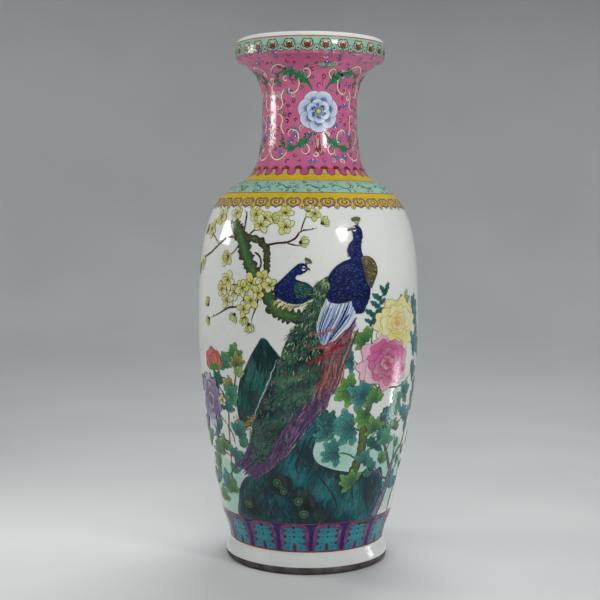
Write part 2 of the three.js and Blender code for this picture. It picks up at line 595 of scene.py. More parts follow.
def grid_inside(flat, grid):
    """Points of a triangular grid inside an outline, not too near its edge."""
    low, high = flat.min(axis=0), flat.max(axis=0)
    if (high - low).min() < grid:
        return []
    rows = np.arange(low[1] + grid / 2, high[1], grid * 0.866)
    starts = [low[0] + (k % 2) * grid / 2 for k in range(len(rows))]
    points = [(x, y) for start, y in zip(starts, rows) for x in np.arange(start, high[0], grid)]
    points = np.array(points).reshape(-1, 2)
    points = points[inside(points, flat)]
    return [points[gaps_to(points, flat) > grid * 0.45]] if len(points) else []


def spin(turn):
    """The matrix of a turn in degrees."""
    angle = math.radians(turn)
    return np.array([[math.cos(angle), -math.sin(angle)], [math.sin(angle), math.cos(angle)]])


class Spot:
    """A place to draw at, with x to the right and y up in millimetres, that can be turned and stretched."""

    def __init__(self, azimuth, height, scale=1.0, turn=0.0, stretch=(1.0, 1.0)):
        self.theta, self.s = math.radians(azimuth), float(skin.at_height(height))
        self.matrix = np.diag(stretch) @ spin(turn) * scale
        self.origin = np.zeros(2)

    def __call__(self, points):
        flat = np.atleast_2d(np.asarray(points, float)) @ self.matrix.T + self.origin
        s = self.s + flat[:, 1]
        return np.column_stack([self.theta + flat[:, 0] / skin.radius(s), s])

    def inner(self, x=0.0, y=0.0, turn=0.0, mirror=(1.0, 1.0)):
        """A spot inside this one; mirror is -1 for an axis to flip."""
        made = object.__new__(Spot)
        made.theta, made.s = self.theta, self.s
        made.origin = self.origin + self.matrix @ (x, y)
        made.matrix = self.matrix @ spin(turn) @ np.diag(mirror)
        return made


def spot_at(theta, s, turn=0.0):
    """A spot at an angle and a distance along the profile."""
    made = Spot(0, 100, turn=turn)
    made.theta, made.s = theta, s
    return made


def chart(points, step=2.0, closed=False):
    """A smooth (theta, s) path from (azimuth in degrees, height) points."""
    p = np.asarray(points, float)
    s = skin.at_height(p[:, 1])
    flat = np.column_stack([np.radians(p[:, 0]) * PATH_RADIUS, s])
    return curve(flat, step, closed) / (PATH_RADIUS, 1)


def fade(spot, start, end, reach, at=(0, 0)):
    """A colour that goes from start at one point of a spot to end at a distance of reach."""
    theta, s = spot([at])[0]
    size = reach * np.linalg.norm(spot.matrix[:, 0])

    def shade(t, v):
        distance = np.hypot((t - theta) * skin.radius(v), v - s)
        return mix(start, end, distance / size)

    return shade


def rise(low, high, start, end, seed, patchy=0.25):
    """A colour that goes from start at one height to end at another, in uneven patches."""
    draw = np.random.default_rng(seed)

    def shade(_, s):
        height = np.interp(s, skin.s, skin.path[:, 1])
        part = (height - low) / (high - low) + draw.uniform(-patchy, patchy, len(np.atleast_1d(s)))
        return mix(start, end, part)

    return shade


def mottle(seed, size):
    """A smooth uneven field over the glaze, about -1 to 1, with lumps of about a size in millimetres."""
    draw = np.random.default_rng(seed)
    waves, phases = draw.normal(0, 2.4 / size, (8, 2)), draw.uniform(0, 2 * math.pi, 8)

    def field(theta, s):
        x = np.asarray(theta) * TONE_RADIUS
        return sum(np.sin(a * x + b * s + c) for (a, b), c in zip(waves, phases)) / 3

    return field


def scatter(outline, spacing, seed, margin):
    """Jittered (theta, s) points inside an outline of (theta, s) points."""
    draw = np.random.default_rng(seed)
    scale = mean_radius(outline)
    flat = outline * (scale, 1)
    low, high = flat.min(axis=0), flat.max(axis=0)
    xs, ys = np.arange(low[0], high[0], spacing), np.arange(low[1], high[1], spacing)
    points = np.array([(x, y) for y in ys for x in xs]).reshape(-1, 2)
    points += draw.uniform(-0.45, 0.45, points.shape) * spacing
    points = points[inside(points, flat)]
    if len(points):
        points = points[gaps_to(points, flat) > margin]
    return points / (scale, 1)


# ---------------------------------------------------------------- porcelain and glaze

outer_wall = curve(wall_points(1), 4.0)
inner_wall = curve(wall_points(-1), 6.0)
skin = Skin(outer_wall)


def dress_cad_nodes():
    """The thrown sections and slip joints stay as they are, as fired porcelain under the glaze."""
    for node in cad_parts.values():
        node.data.materials.clear()
        node.data.materials.append(MATERIALS["fired_slip"])


def foot_bore():
    """The radius of the hole through the foot ring."""
    corners = [v.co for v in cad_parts["foot_ring"].data.vertices]
    return min(-co.y for co in corners if abs(co.x) < 1e-5 and co.y < 0) / MM


def foot_ring():
    """The foot ring's own porcelain, turned finer than the CAD's because its bottom edge is bare."""
    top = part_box("foot_ring")[1].z / MM
    outside = [p for p in outer_wall if p[1] <= top]
    bore = foot_bore()
    inside_edge = [(bore, top), (bore, 3.2), (bore + 0.5, 1.6), (bore + 1.4, 0.5), (bore + 2.8, 0.0)]
    piece = lathe("foot_ring_porcelain", "bare_porcelain", inside_edge + outside, 40)
    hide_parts("foot_ring")


def glaze_coat():
    """The clear glaze over the outside, the lip and the whole inside, down to the bare edge at the foot."""
    hidden, lip_middle = 0.15, 82.3
    outer_face = [p for p in skin.path if p[1] > EDGE_OF_GLAZE]
    floor_radius, floor = inner_wall[0]
    down = inner_wall[::-1]
    down = np.vstack([down[down[:, 1] < LIP_TOP - 0.1], [(floor_radius * 0.5, floor), (0, floor)]])
    inner_face = offset(down, GLAZE)
    inner_face[-1, 0] = 0
    inner_face[-2:, 1] = floor + GLAZE
    back = offset(down, -hidden)[::-3]
    back[0] = (0, floor - hidden)
    covered = (outer_wall[:, 1] > EDGE_OF_GLAZE + 0.4) & (outer_wall[:, 1] < LIP_TOP - 1)
    under = offset(outer_wall[covered], -hidden)[::-3]
    top, below_top = [(lip_middle, LIP_TOP + GLAZE)], [(lip_middle, LIP_TOP - 0.2)]
    loop = np.vstack([outer_face[:-1], top, inner_face, back, below_top, under])
    lathe("glaze_coat", "glazed_porcelain", loop, 50)


def base_glaze():
    """The glaze in the foot's recess, under the floor."""
    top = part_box("lower_body")[0].z / MM
    bore = foot_bore()
    loop = [(0, top - GLAZE), (70, top - GLAZE), (76, top - 0.8), (bore - GLAZE - 0.3, top - 2.6)]
    loop += [(bore - GLAZE, 12), (bore - GLAZE, 5.5), (bore, 4.6), (bore + 0.1, 12), (bore + 0.1, top - 1)]
    loop += [(76, top + 0.1), (0, top + 0.1)]
    lathe("base_glaze", "glazed_porcelain", loop, 60, segments=96)


def band(name, slot, low, high, colour, lift):
    """A thin closed hoop of enamel between two heights."""
    start, end = skin.at_height(low), skin.at_height(high)
    s = np.concatenate([[start], skin.s[(skin.s > start + 0.3) & (skin.s < end - 0.3)], [end]])
    r, z, nr, nz = skin.profile(s)
    middle, normal = np.column_stack([r, z]), np.column_stack([nr, nz])
    loop = np.vstack([middle + normal * lift, (middle + normal * SUNK)[::-1]])
    return lathe(name, slot, loop, 60, colour)


def ring_line(enamel, height, width, colour, lift=FILL, dome=0.06):
    """A painted line all the way round, as one closed ridge."""
    theta = np.linspace(0, 2 * math.pi, SEGMENTS, endpoint=False)
    s = float(skin.at_height(height))
    n = len(theta)
    tilt = np.zeros((3 * n, 3))
    tilt[:, 2] = 1
    tilt[:n, 1], tilt[2 * n :, 1] = -LEAN, LEAN
    faces = []
    for i in range(n):
        k = (i + 1) % n
        for row, other in ((0, n), (n, 2 * n), (2 * n, 0)):
            faces.append((i + row, k + row, k + other, i + other))
    heights = np.repeat([s - width / 2, s, s + width / 2], n)
    lifts = np.repeat([lift, lift + dome, lift], n)
    enamel.add(np.tile(theta, 3), heights, lifts, tilt, colour, faces)


def arc(x, y, radius, start, end, count=9):
    """Points on an arc, by angles in degrees."""
    a = np.radians(np.linspace(start, end, count))
    return np.column_stack([x + radius * np.cos(a), y + radius * np.sin(a)])


def mirrored(half):
    """An outline from its right half, which starts and ends on the middle line."""
    return half + [(-x, y) for x, y in half[-2:0:-1]]


def around(count, first):
    """Azimuths of count repeats of a border."""
    return [first + 360 * k / count for k in range(count)]


# ---------------------------------------------------------------- borders


def ruyi_head(width, height):
    """The outline of a cloud-shaped head: two rounded shoulders and a soft point below."""
    half = width / 2
    right = [(0, height * 0.42), (half * 0.45, height * 0.5), (half * 0.9, height * 0.3)]
    right.append((half, -0.02 * height))
    right += [(half * 0.72, -height * 0.3), (half * 0.3, -height * 0.36), (0, -height * 0.5)]
    return curve(mirrored(right), 1.2, closed=True)


def collar_border(paint):
    """Roundels on a pale turquoise collar that ends below in scallops, over rose, under a white lip."""
    band("collar_ground", "enamel_turquoise", COLLAR_EDGE, LIP_LINE - 0.8, PALE_TURQUOISE, 0.09)
    ring_line(paint("red"), LIP_LINE, 1.3, rgb(176, 96, 50))
    shades, lines = paint("turquoise"), paint("outline")
    for azimuth in around(27, -2.1):
        spot = Spot(azimuth, 596.2)
        scallop, shell = spot(ruyi_head(15.6, 11.0) - (0, 3.2)), spot(ruyi_head(12.4, 10.8))
        head = spot(ruyi_head(7.2, 6.2) - (0, 1.0))
        shades.fill(scallop, rgb(150, 186, 160), 0.11)
        lines.outline(scallop, 0.7, rgb(100, 70, 70), 0.12)
        shades.fill(shell, rgb(186, 196, 166), 0.14)
        lines.outline(shell, 1.1, rgb(80, 50, 44), 0.16)
        paint("red").fill(head, fade(spot, RUST, rgb(96, 26, 22), 5), 0.165)
        lines.outline(head, 0.6, DARK_BROWN, 0.18)
        paint("white").stroke(spot(arc(0, -0.4, 2.6, 20, 160)), 1.0, WHITE, 0.19, 0.04)
        lines.stroke(spot(arc(0, 3.4, 2.4, 200, 340)), 0.7, BROWN, 0.17)
        drop = Spot(azimuth + 180 / 27, 592.0)
        shape = curve(mirrored([(0, 4.2), (2.8, 1.2), (3.0, -1.6), (0, -4.2)]), 1.2, True)
        shades.fill(drop(shape), rgb(150, 196, 168), 0.15)
        lines.outline(drop(shape), 0.7, rgb(100, 70, 70), 0.17)
        lines.dot(drop, 0, -0.6, 1.1, INK, 0.18, 7)


def neck_foot_border(paint):
    """Rose tongues over yellow, joined by iron-red caps, where the neck meets the shoulder."""
    for azimuth in around(28, 2.0):
        spot = Spot(azimuth, 456.5)
        stem = [(-1.9, -5.6), (1.9, -5.6), (1.3, -1.5), (2.2, 1.2), (0, 2.6), (-2.2, 1.2), (-1.3, -1.5)]
        paint("yellow").fill(spot(stem), rgb(196, 186, 70), 0.11)
        cap = [(-4.6, 0.2), (-4.2, 4.2), (0, 6.6), (4.2, 4.2), (4.6, 0.2), (2.6, 2.4), (0, 3.2), (-2.6, 2.4)]
        cap = curve(cap, 1.2, True)
        paint("red").fill(spot(cap), fade(spot, RUST, rgb(110, 36, 30), 3, (0, 5)), 0.13)
        paint("outline").outline(spot(cap), 0.6, DARK_BROWN, 0.14)
        gap = Spot(azimuth + 180 / 28, 454.6)
        shape = [(-4.0, 6.5), (-4.2, -0.4), (-2.2, -3.4), (0, -4.2), (2.2, -3.4), (4.2, -0.4), (4.0, 6.5)]
        shape = curve(shape, 1.2)
        paint("rose").fill(gap(shape), rgb(196, 92, 136), 0.14)
        paint("outline").stroke(gap(shape), 0.9, rgb(110, 50, 40), 0.15, 0.03, (0.04, 0.04))


def shoulder_scrolls(lines):
    """The small dark scrolls and waves on the shoulder's turquoise band."""
    draw = random.Random(11)
    tones = (LEAF_DARK, TEAL_DARK, TEAL_DARK, BROWN, DARK_BROWN, SOFT_BLUE, RUST)
    for azimuth in around(52, 0):
        for row in (434.4, 438.8, 442.8):
            place = azimuth + draw.uniform(-3, 3), row + draw.uniform(-0.7, 0.7)
            spot = Spot(*place, turn=draw.uniform(0, 360))
            tone = draw.choice(tones)
            lines.stroke(spot(curl(draw.uniform(2.6, 4.0), draw)), 1.1, tone, 0.08, 0.05)
    wave = curve([(-13, -1), (-9, 3.4), (-4, 2.4), (0, -2), (4, -3.4), (9, -0.6), (12, 3.0)], 1.5)
    for azimuth in around(18, 4.0):
        lines.stroke(Spot(azimuth, 438.4)(wave), 1.3, rgb(60, 84, 60), 0.09, 0.05)


def shoulder_border(paint):
    """Yellow line, turquoise band with scrolls, yellow band, and a hanging border of cloud heads."""
    band("shoulder_turquoise", "enamel_turquoise", TURQUOISE_BAND, YELLOW_LINE, TURQUOISE, 0.06)
    band("shoulder_line_yellow", "enamel_yellow", YELLOW_LINE - 0.4, NECK_FOOT + 1.6, YELLOW, 0.08)
    band("shoulder_band_yellow", "enamel_yellow", YELLOW_BAND - 2.5, TURQUOISE_BAND, YELLOW, 0.07)
    reds, yellows, mauves, lines = paint("red"), paint("yellow"), paint("purple"), paint("outline")
    ring_line(reds, YELLOW_LINE - 0.2, 0.9, RUST)
    ring_line(reds, TURQUOISE_BAND + 0.2, 1.0, RUST)
    shoulder_scrolls(lines)
    for azimuth in around(36, 1.0):
        spot = Spot(azimuth, 420.4)
        head, inner_head = spot(ruyi_head(16.4, 13.0)), spot(ruyi_head(12.6, 9.8) + (0, 0.4))
        heart = spot(ruyi_head(7.6, 5.6) + (0, 0.4))
        mauves.fill(head, rgb(170, 138, 146), 0.1)
        yellows.fill(inner_head, rgb(220, 196, 84), 0.125)
        mauves.outline(head, 1.1, rgb(112, 74, 108), 0.125)
        mauves.outline(inner_head, 0.7, rgb(120, 74, 84), 0.14)
        paint("brown").fill(heart, fade(spot, rgb(84, 36, 40), rgb(130, 72, 40), 4), 0.15)
        lines.stroke(spot(arc(-2.2, 2.8, 1.5, 0, 220)), 0.5, DARK_BROWN, 0.16)
        lines.stroke(spot(arc(2.2, 2.8, 1.5, 180, -40)), 0.5, DARK_BROWN, 0.16)
        drop = Spot(azimuth + 5, 417.0)
        shape = curve(mirrored([(0, 5.4), (2.2, 2.2), (2.9, -1.2), (0, -4.2)]), 1.2, True)
        yellows.fill(drop(shape), YELLOW, 0.16)
        mauves.outline(drop(shape), 0.7, MAUVE, 0.17)
        lines.dot(drop, 0, -1.2, 1.0, LEAF_DARK, 0.18, 7)


# The right half of the notched shape on a foot panel.
NOTCHED_HALF = [
    (0, 14.6), (2.2, 15.4), (3.6, 14.0), (6.0, 14.8), (8.0, 13.4), (11.2, 14.0), (12.2, 11.4), (10.4, 9.4),
    (12.2, 7.2), (12.0, 4.4), (8.4, 3.0), (8.4, 0.8), (12.0, -0.8), (12.4, -4.2), (8.8, -5.6), (8.8, -7.8),
    (12.4, -9.2), (12.8, -16.6), (2.4, -16.6), (1.8, -9.0), (0, -6.6),
]


def foot_panel(spot, paint):
    """One panel of the foot band: a purple frame round a notched turquoise shape with dots and a slit."""
    half = [(0, 17.6), (11.4, 17.4), (14.0, 15.6), (14.6, 12), (14.6, -18.2)]
    frame_shape = curve([(-x, y) for x, y in half[:0:-1]] + half, 2.0)
    paint("purple").fill(spot(frame_shape), MAGENTA, 0.09)
    paint("red").stroke(spot(frame_shape * (0.93, 0.95)), 0.8, RUST, 0.11, 0.04, (0.02, 0.02))
    shape = spot(mirrored(NOTCHED_HALF))
    paint("turquoise").fill(shape, fade(spot, rgb(66, 164, 176), rgb(44, 138, 162), 18), 0.12)
    lines = paint("outline")
    lines.outline(shape, 0.7, rgb(40, 20, 50), 0.13)
    for y, size in ((14.2, 1.6), (8.4, 1.2), (1.8, 1.2)):
        lines.dot(spot, 0, y, size, NAVY, 0.14, 6, 1.2)
    for side in (1, -1):
        for x, y in ((5.2, 9.4), (5.0, 2.0), (5.4, -6.4), (6.6, -12.0)):
            lines.dot(spot, side * x, y, 0.8, NAVY, 0.14, 6, 1.2)
        for y in (9.6, 1.9, -6.7):
            lines.dot(spot, side * 9.8, y, 1.9, rgb(84, 34, 84), 0.15, 7)
    stalk = spot([(0, -16.4), (0, -12.4), (0, -7.4)])
    paint("red").stroke(stalk, 3.0, rgb(120, 30, 60), 0.14, 0.03, (0.02, 0.4))
    lines.stroke(spot([(0, -16.4), (0, -13.4), (0, -9.0)]), 1.3, NAVY, 0.18, 0.02, (0.02, 0.4))


def foot_border(paint):
    """Turquoise panels in purple frames between cobalt bars, over a red line, above the white foot."""
    band("foot_ground", "enamel_blue", PANEL_FOOT, PANEL_TOP - 0.5, VIOLET, 0.06)
    ring_line(paint("red"), PANEL_FOOT, 1.6, RUST, 0.15, 0.06)
    ring_line(paint("purple"), PANEL_TOP, 2.4, rgb(120, 70, 100), 0.1, 0.06)
    for azimuth in around(16, -8.25):
        foot_panel(Spot(azimuth, 42.0, stretch=(1.07, 1)), paint)
        bar = Spot(azimuth + 180 / 16, 42.0)
        for x in (-2.5, 2.5):
            paint("purple").stroke(bar([(x, 16), (x, -17.5)]), 0.9, rgb(90, 50, 130), 0.1, 0.03, (0.05, 0.02))


# ---------------------------------------------------------------- small motifs


def curl(size, draw):
    """A small hooked scroll, in millimetres about its own middle."""
    t = np.linspace(0, 1, 9)
    angle = draw.uniform(0.7, 1.3) * 2 * math.pi * t
    radius = size * (0.25 + 0.75 * t)
    way = draw.choice((1, -1))
    return np.column_stack([radius * np.cos(angle) * way, radius * np.sin(angle)])


def petal_shape(length, width, waves=0, depth=0.0, phase=0.0, count=15, full=0.25, point=0.0):
    """A petal from its base at the origin to its tip at [0, length]. waves, depth and phase give its edge
    ripples, full makes it wider towards the tip, and point makes the tip sharper."""
    t = np.linspace(0, 2 * math.pi, count, endpoint=False)
    x = width / 2 * np.sin(t) * (1 + full * (1 - np.cos(t)) / 2) * (1 - point * ((1 - np.cos(t)) / 2) ** 3)
    y = length * (1 - np.cos(t)) / 2
    ripple = 1 + depth * np.cos(waves * t + phase) * (1 - np.cos(t)) / 2
    return curve(np.column_stack([x * ripple, y * ripple]), 1.5, closed=True)


def pointed_petal(length, width, count, full, point):
    """A petal with a smooth edge and a sharp tip."""
    return petal_shape(length, width, count=count, full=full, point=point)


class Pile:
    """Hands out rising heights above the glaze, so that what is painted later lies on top."""

    def __init__(self, start):
        self.level = start

    def up(self):
        self.level += LAYER
        return self.level


# ---------------------------------------------------------------- neck


def lotus(spot, paint):
    """A round lotus: a ring of waved blue petals, a ring of smaller ones, and a yellow-green heart."""
    pile = Pile(0.12)
    for count, reach, base, width, first in ((7, 22.8, 7.6, 19.4, 26), (6, 13.2, 2.0, 12.4, 10)):
        for k in range(count):
            petal = spot.inner(turn=first + 360 * k / count).inner(0, base)
            length = reach - base
            outline = petal(petal_shape(length, width, 13, 0.07))
            lift = pile.up()
            tone = fade(petal, rgb(84, 122, 198), rgb(224, 236, 246), length * 1.04)
            paint("white").fill(outline, tone, lift, 2.2)
            paint("blue").outline(outline, 0.45, rgb(90, 120, 180), lift + LINE_GAP)
            for j in range(-4, 5):
                ray = petal.inner(turn=j * 9)
                start, end = length * (0.34 - 0.03 * abs(j)), length * (0.74 - 0.05 * abs(j))
                ray = ray([(0, start), (0.3, end)])
                paint("blue").stroke(ray, 0.8, (COBALT, rgb(60, 84, 160)), lift + LINE_GAP)
    paint("green").fill(spot(petal_shape(7.4, 7.0) - (0, 3.7)), rgb(60, 120, 110), 0.62, 2.0)
    for k in range(6):
        paint("yellow").dot(spot.inner(turn=60 * k), 0, 1.9, 1.15, rgb(206, 206, 60), 0.66, 7)
    paint("yellow").dot(spot, 0, 0, 1.3, rgb(226, 220, 120), 0.66, 7)


def acanthus(spot, paint, size, seed):
    """A curling spray: a stem that swells into two clumps of pointed lobes and ends in a small hook."""
    draw = random.Random(seed)
    spine = curve(np.array(SPRAY_STEM) * size, 1.0)
    pile = Pile(0.09)
    for part, reach in SPRAY_LOBES:
        i = min(int(part * (len(spine) - 1)), len(spine) - 2)
        heading = -math.degrees(math.atan2(*(spine[i + 1] - spine[i - 1])))
        lift = pile.up()
        for side in (1, -1):
            lobe = spot.inner(*spine[i], turn=heading + side * (62 + draw.uniform(-16, 12)))
            length = size * reach * draw.uniform(0.8, 1.2)
            outline = lobe(pointed_petal(length, length * 0.62, 15, 0.1, 0.6))
            tip = draw.choice([rgb(44, 150, 106), rgb(80, 176, 130), rgb(20, 104, 70)])
            tone = fade(lobe, rgb(24, 124, 82), tip, length)
            paint.patch("green", outline, tone, lift, 2.5, 0.45, LEAF_DARK)
    paint("green").stroke(spot(spine), 4.6 * size, (JADE, rgb(70, 150, 100)), pile.up(), 0.1, (0.25, 0.7))
    paint("outline").stroke(spot(spine[2:-10]), 0.7, LEAF_DARK, pile.level + 0.11, 0.02)


def tendril(spot, path, paint):
    """A cream tendril with a brown edge."""
    smooth = spot(curve(path, 1.2))
    paint("outline").stroke(smooth, 2.2, BROWN, 0.085, 0.02, (0.1, 0.35))
    paint("white").stroke(smooth, 1.5, CREAM, 0.115, 0.08, (0.1, 0.35))


def cloud_scroll(spot, paint):
    """A pale green two-winged cloud over a lotus."""
    wing = [(0, -1.4), (4, -3.4), (8.6, -2.4), (10.4, 1.0), (7.4, 2.0), (5.4, 3.6), (2.4, 1.6), (0, 2.2)]
    for side, lift in ((1, 0.12), (-1, 0.144)):
        half = spot.inner(mirror=(side, 1))
        outline = half(curve(wing, 1.4, True))[::side]
        paint.patch("green", outline, rgb(158, 206, 172), lift, 3.0, 0.5, DARK_BROWN)
        paint("outline").stroke(half(arc(7, 0.2, 1.7, 90, 360)), 0.6, LEAF_DARK, lift + LINE_GAP)


def pendant(spot, paint):
    """A long iron-red drop below a lotus, with pale edges."""
    half = [(0, 11), (2.6, 7.4), (1.9, 2), (3.3, -6), (2.0, -10.4)]
    shape = curve(half + [(-x, y) for x, y in half[:0:-1]], 1.5, True)
    paint("white").fill(spot(shape * (1.3, 1.05)), rgb(238, 214, 206), 0.1)
    paint("red").fill(spot(shape), fade(spot, rgb(196, 84, 76), rgb(128, 24, 26), 11, (0, 8)), 0.13)
    paint("outline").outline(spot(shape * (1.3, 1.05)), 0.4, DARK_BROWN, 0.15)
    paint("white").stroke(spot([(-0.6, 6), (-0.8, 0), (-1.2, -7)]), 0.8, WHITE, 0.15, 0.03)


def small_bud(spot, paint):
    """A violet-blue bud of three lobes."""
    for lift, turn in ((0.1, -52), (0.124, 52), (0.148, 0)):
        lobe = spot.inner(turn=turn)
        outline = lobe(petal_shape(5.4, 3.6))
        tone = fade(lobe, rgb(60, 50, 140), rgb(160, 150, 206), 5)
        paint.patch("blue", outline, tone, lift, 2.4, 0.4, NAVY)
    paint("white").dot(spot, 0, 0, 0.9, WHITE, 0.2, 6)


SPRAY_STEM = ((0, 0), (5, 8.5), (11, 14), (21, 20), (33, 23.5), (43, 21), (46.5, 14), (41, 8.5))
SPRAY_LOBES = (
    (0.2, 4.6), (0.26, 7.0), (0.32, 7.8), (0.38, 5.6), (0.5, 5.0), (0.56, 7.2), (0.62, 5.6),
    (0.8, 4.6), (0.9, 4.4), (0.98, 4.0),
)
SPRAY_TENDRILS = (
    [(30, 23), (36, 30), (44, 33), (52, 29), (54, 21), (49, 18)],
    [(19, 18), (16, 9), (18, 1), (25, -2), (29, 2), (26, 6)],
    [(46, 14), (51, 9), (52, 2), (47, -4), (41, -2)],
    [(34, 4), (38, -6), (36, -14), (41, -20), (47, -18)],
    [(8, 14), (4, 20), (7, 26), (12, 25), (12, 20)],
)
LOTUS_AZIMUTHS = (10.4, 130.4, 250.4)


def neck_scroll(paint):
    """Lotus scroll on the rose ground: three lotuses, each with four leaf sprays and cream tendrils."""
    for azimuth in LOTUS_AZIMUTHS:
        flower = Spot(azimuth, 524.5)
        lotus(flower, paint)
        cloud_scroll(Spot(azimuth + 5, 576.0), paint)
        pendant(Spot(azimuth, 488.5), paint)
        mark = Spot(azimuth + 3.6, 558.5)([(0, 7.5), (0.6, 0), (0, -7.5)])
        paint("red").stroke(mark, 1.0, RUST, 0.12, 0.03)
        for side in (1, -1):
            for end in (1, -1):
                corner = flower.inner(6.8 * side, 22.5 * end, mirror=(side, end))
                acanthus(corner, paint, 1.0 if end > 0 else 0.84, int(azimuth) + side + 3 * end)
                for path in SPRAY_TENDRILS:
                    tendril(corner, path, paint)


def neck_curls(paint):
    """The many small curls and buds that fill the rose ground between the sprays."""
    draw = random.Random(5)
    tones = (NAVY, NAVY, TEAL_DARK, DARK_BROWN, LEAF_DARK, VIOLET, rgb(60, 90, 160))
    taken = []
    for _ in range(2200):
        azimuth, height = draw.uniform(-180, 180), draw.uniform(467, 589)
        s = float(skin.at_height(height))
        x, y = math.radians(azimuth) * float(skin.radius(s)), s
        from_flower = min(abs((azimuth - a + 180) % 360 - 180) for a in LOTUS_AZIMUTHS) * 0.97
        if math.hypot(from_flower, height - 524.5) < 25:
            continue
        if any(abs(x - u) < 6.2 and abs(y - v) < 5.8 for u, v in taken):
            continue
        taken.append((x, y))
        spot = Spot(azimuth, height, turn=draw.uniform(0, 360))
        kind = draw.random()
        if kind < 0.1:
            small_bud(spot, paint)
        elif kind < 0.28:
            tone = draw.choice([CREAM, PALE_TURQUOISE])
            paint("white").stroke(spot(curl(draw.uniform(3.0, 4.4), draw)), 1.4, tone, 0.1, 0.08)
        else:
            size, width = draw.uniform(2.4, 3.8), draw.uniform(1.0, 1.6)
            paint("outline").stroke(spot(curl(size, draw)), width, draw.choice(tones), 0.1, 0.08)


# ---------------------------------------------------------------- flowers, leaves and wood


def blossom(spot, size, seed, paint, base):
    """A pale yellow blossom: pointed petals with dark outlines round a dark heart with stamens."""
    draw = random.Random(seed)
    pile = Pile(base)
    lines = paint("outline")
    for k in range(5):
        petal = spot.inner(turn=k * 72 + draw.uniform(-16, 16))
        length, width = size * draw.uniform(0.85, 1.25), size * draw.uniform(0.62, 0.84)
        outline = petal(petal_shape(length, width, 5, 0.04, draw.uniform(0, 6), 17, 0.3, 0.35))
        lift = pile.up()
        tip = draw.choice([LEMON, PALE_YELLOW, rgb(236, 234, 190), rgb(240, 238, 206)])
        line = draw.choice([MOSS, DARK_BROWN, BROWN, rgb(110, 110, 50)])
        paint.patch("yellow", outline, fade(petal, rgb(196, 198, 96), tip, length), lift, 2.6, 0.6, line)
        rib = [(0.1, length * 0.15), (draw.uniform(-0.6, 0.6), length * 0.62)]
        lines.stroke(petal(rib), 0.4, rgb(120, 120, 60), lift + LINE_GAP)
    for k in range(6):
        ray = spot.inner(turn=k * 60 + draw.uniform(-14, 14))
        reach = size * draw.uniform(0.2, 0.36)
        lines.stroke(ray([(0, 0), (0, reach)]), 0.5, BROWN, pile.level + LINE_GAP, 0.02)
        lines.dot(ray, 0, reach, 0.5, BROWN, pile.level + 0.03, 5)
    lines.dot(spot, 0, 0, size * 0.15, rgb(80, 70, 30), pile.level + 0.03, 7)


def blossom_bud(spot, size, seed, paint, base):
    """A half-open blossom, seen from its side, on a dark calyx."""
    draw = random.Random(seed)
    pile = Pile(base)
    for turn in (-50, 44, -22, 24, 0):
        petal = spot.inner(turn=turn)
        length = size * draw.uniform(0.95, 1.3)
        outline = petal(pointed_petal(length, size * 0.5, 15, 0.3, 0.45))
        tip = draw.choice([LEMON, PALE_YELLOW, rgb(236, 234, 190)])
        tone, line = fade(petal, rgb(180, 190, 80), tip, length), draw.choice([MOSS, DARK_BROWN])
        paint.patch("yellow", outline, tone, pile.up(), 2.6, 0.6, line)
    calyx = petal_shape(size * 0.5, size * 0.46, 5, 0.12) - (0, size * 0.26)
    paint("brown").fill(spot(calyx), DARK_BROWN, pile.up(), 2.5)


def leaf(spot, length, width, tones, paint, pile, seed):
    """A lobed leaf with a midrib and side veins; tones are its base and tip colours."""
    draw = random.Random(seed)
    bend = draw.uniform(-0.12, 0.12) * length
    t = np.linspace(0, 2 * math.pi, 31, endpoint=False)
    y = length * (1 - np.cos(t)) / 2
    x = width / 2 * np.sin(t) * (1 + 0.2 * np.cos(t))
    x *= 1 + 0.3 * np.cos(7 * t + draw.uniform(0, 2)) * np.abs(np.sin(t))
    x += bend * np.sin(y / length * math.pi / 2) ** 2
    lift = pile.up()
    outline = spot(curve(np.column_stack([x, y]), 1.8, True))
    tone, lines = fade(spot, *tones, length * 0.95), paint("outline")
    paint.patch("green", outline, tone, lift, 2.8, 0.5, TEAL_DARK)

    def middle(part):
        return bend * math.sin(part * math.pi / 2) ** 2, length * part

    midrib = spot(curve([middle(p) for p in (0.02, 0.3, 0.6, 0.92)], 2))
    lines.stroke(midrib, 0.7, TEAL_DARK, lift + LINE_GAP, taper=(0.05, 0.5))
    for part in (0.18, 0.34, 0.5, 0.66, 0.8):
        x0, y0 = middle(part)
        reach = width * 0.4 * math.sin(math.pi * min(0.95, part + 0.08)) ** 0.7
        for side in (1, -1):
            path = [(x0, y0), (x0 + side * reach * 0.5, y0 + reach * 0.3)]
            path.append((x0 + side * reach, y0 + reach * 0.75))
            lines.stroke(spot(path), 0.42, TEAL_DARK, lift + LINE_GAP)


def leaf_fan(spot, size, tones, paint, pile, seed, count):
    """A peony leaf: several leaflets that fan out from one point."""
    draw = random.Random(seed)
    middle, spread = (count - 1) / 2, 40
    for k in sorted(range(count), key=lambda k: -abs(k - middle)):
        length = size * draw.uniform(0.85, 1.1) * (1 if k == middle else 0.86)
        leaflet = spot.inner(turn=(k - middle) * spread + draw.uniform(-8, 8))
        leaf(leaflet, length, length * draw.uniform(0.42, 0.54), tones, paint, pile, seed * 7 + k)


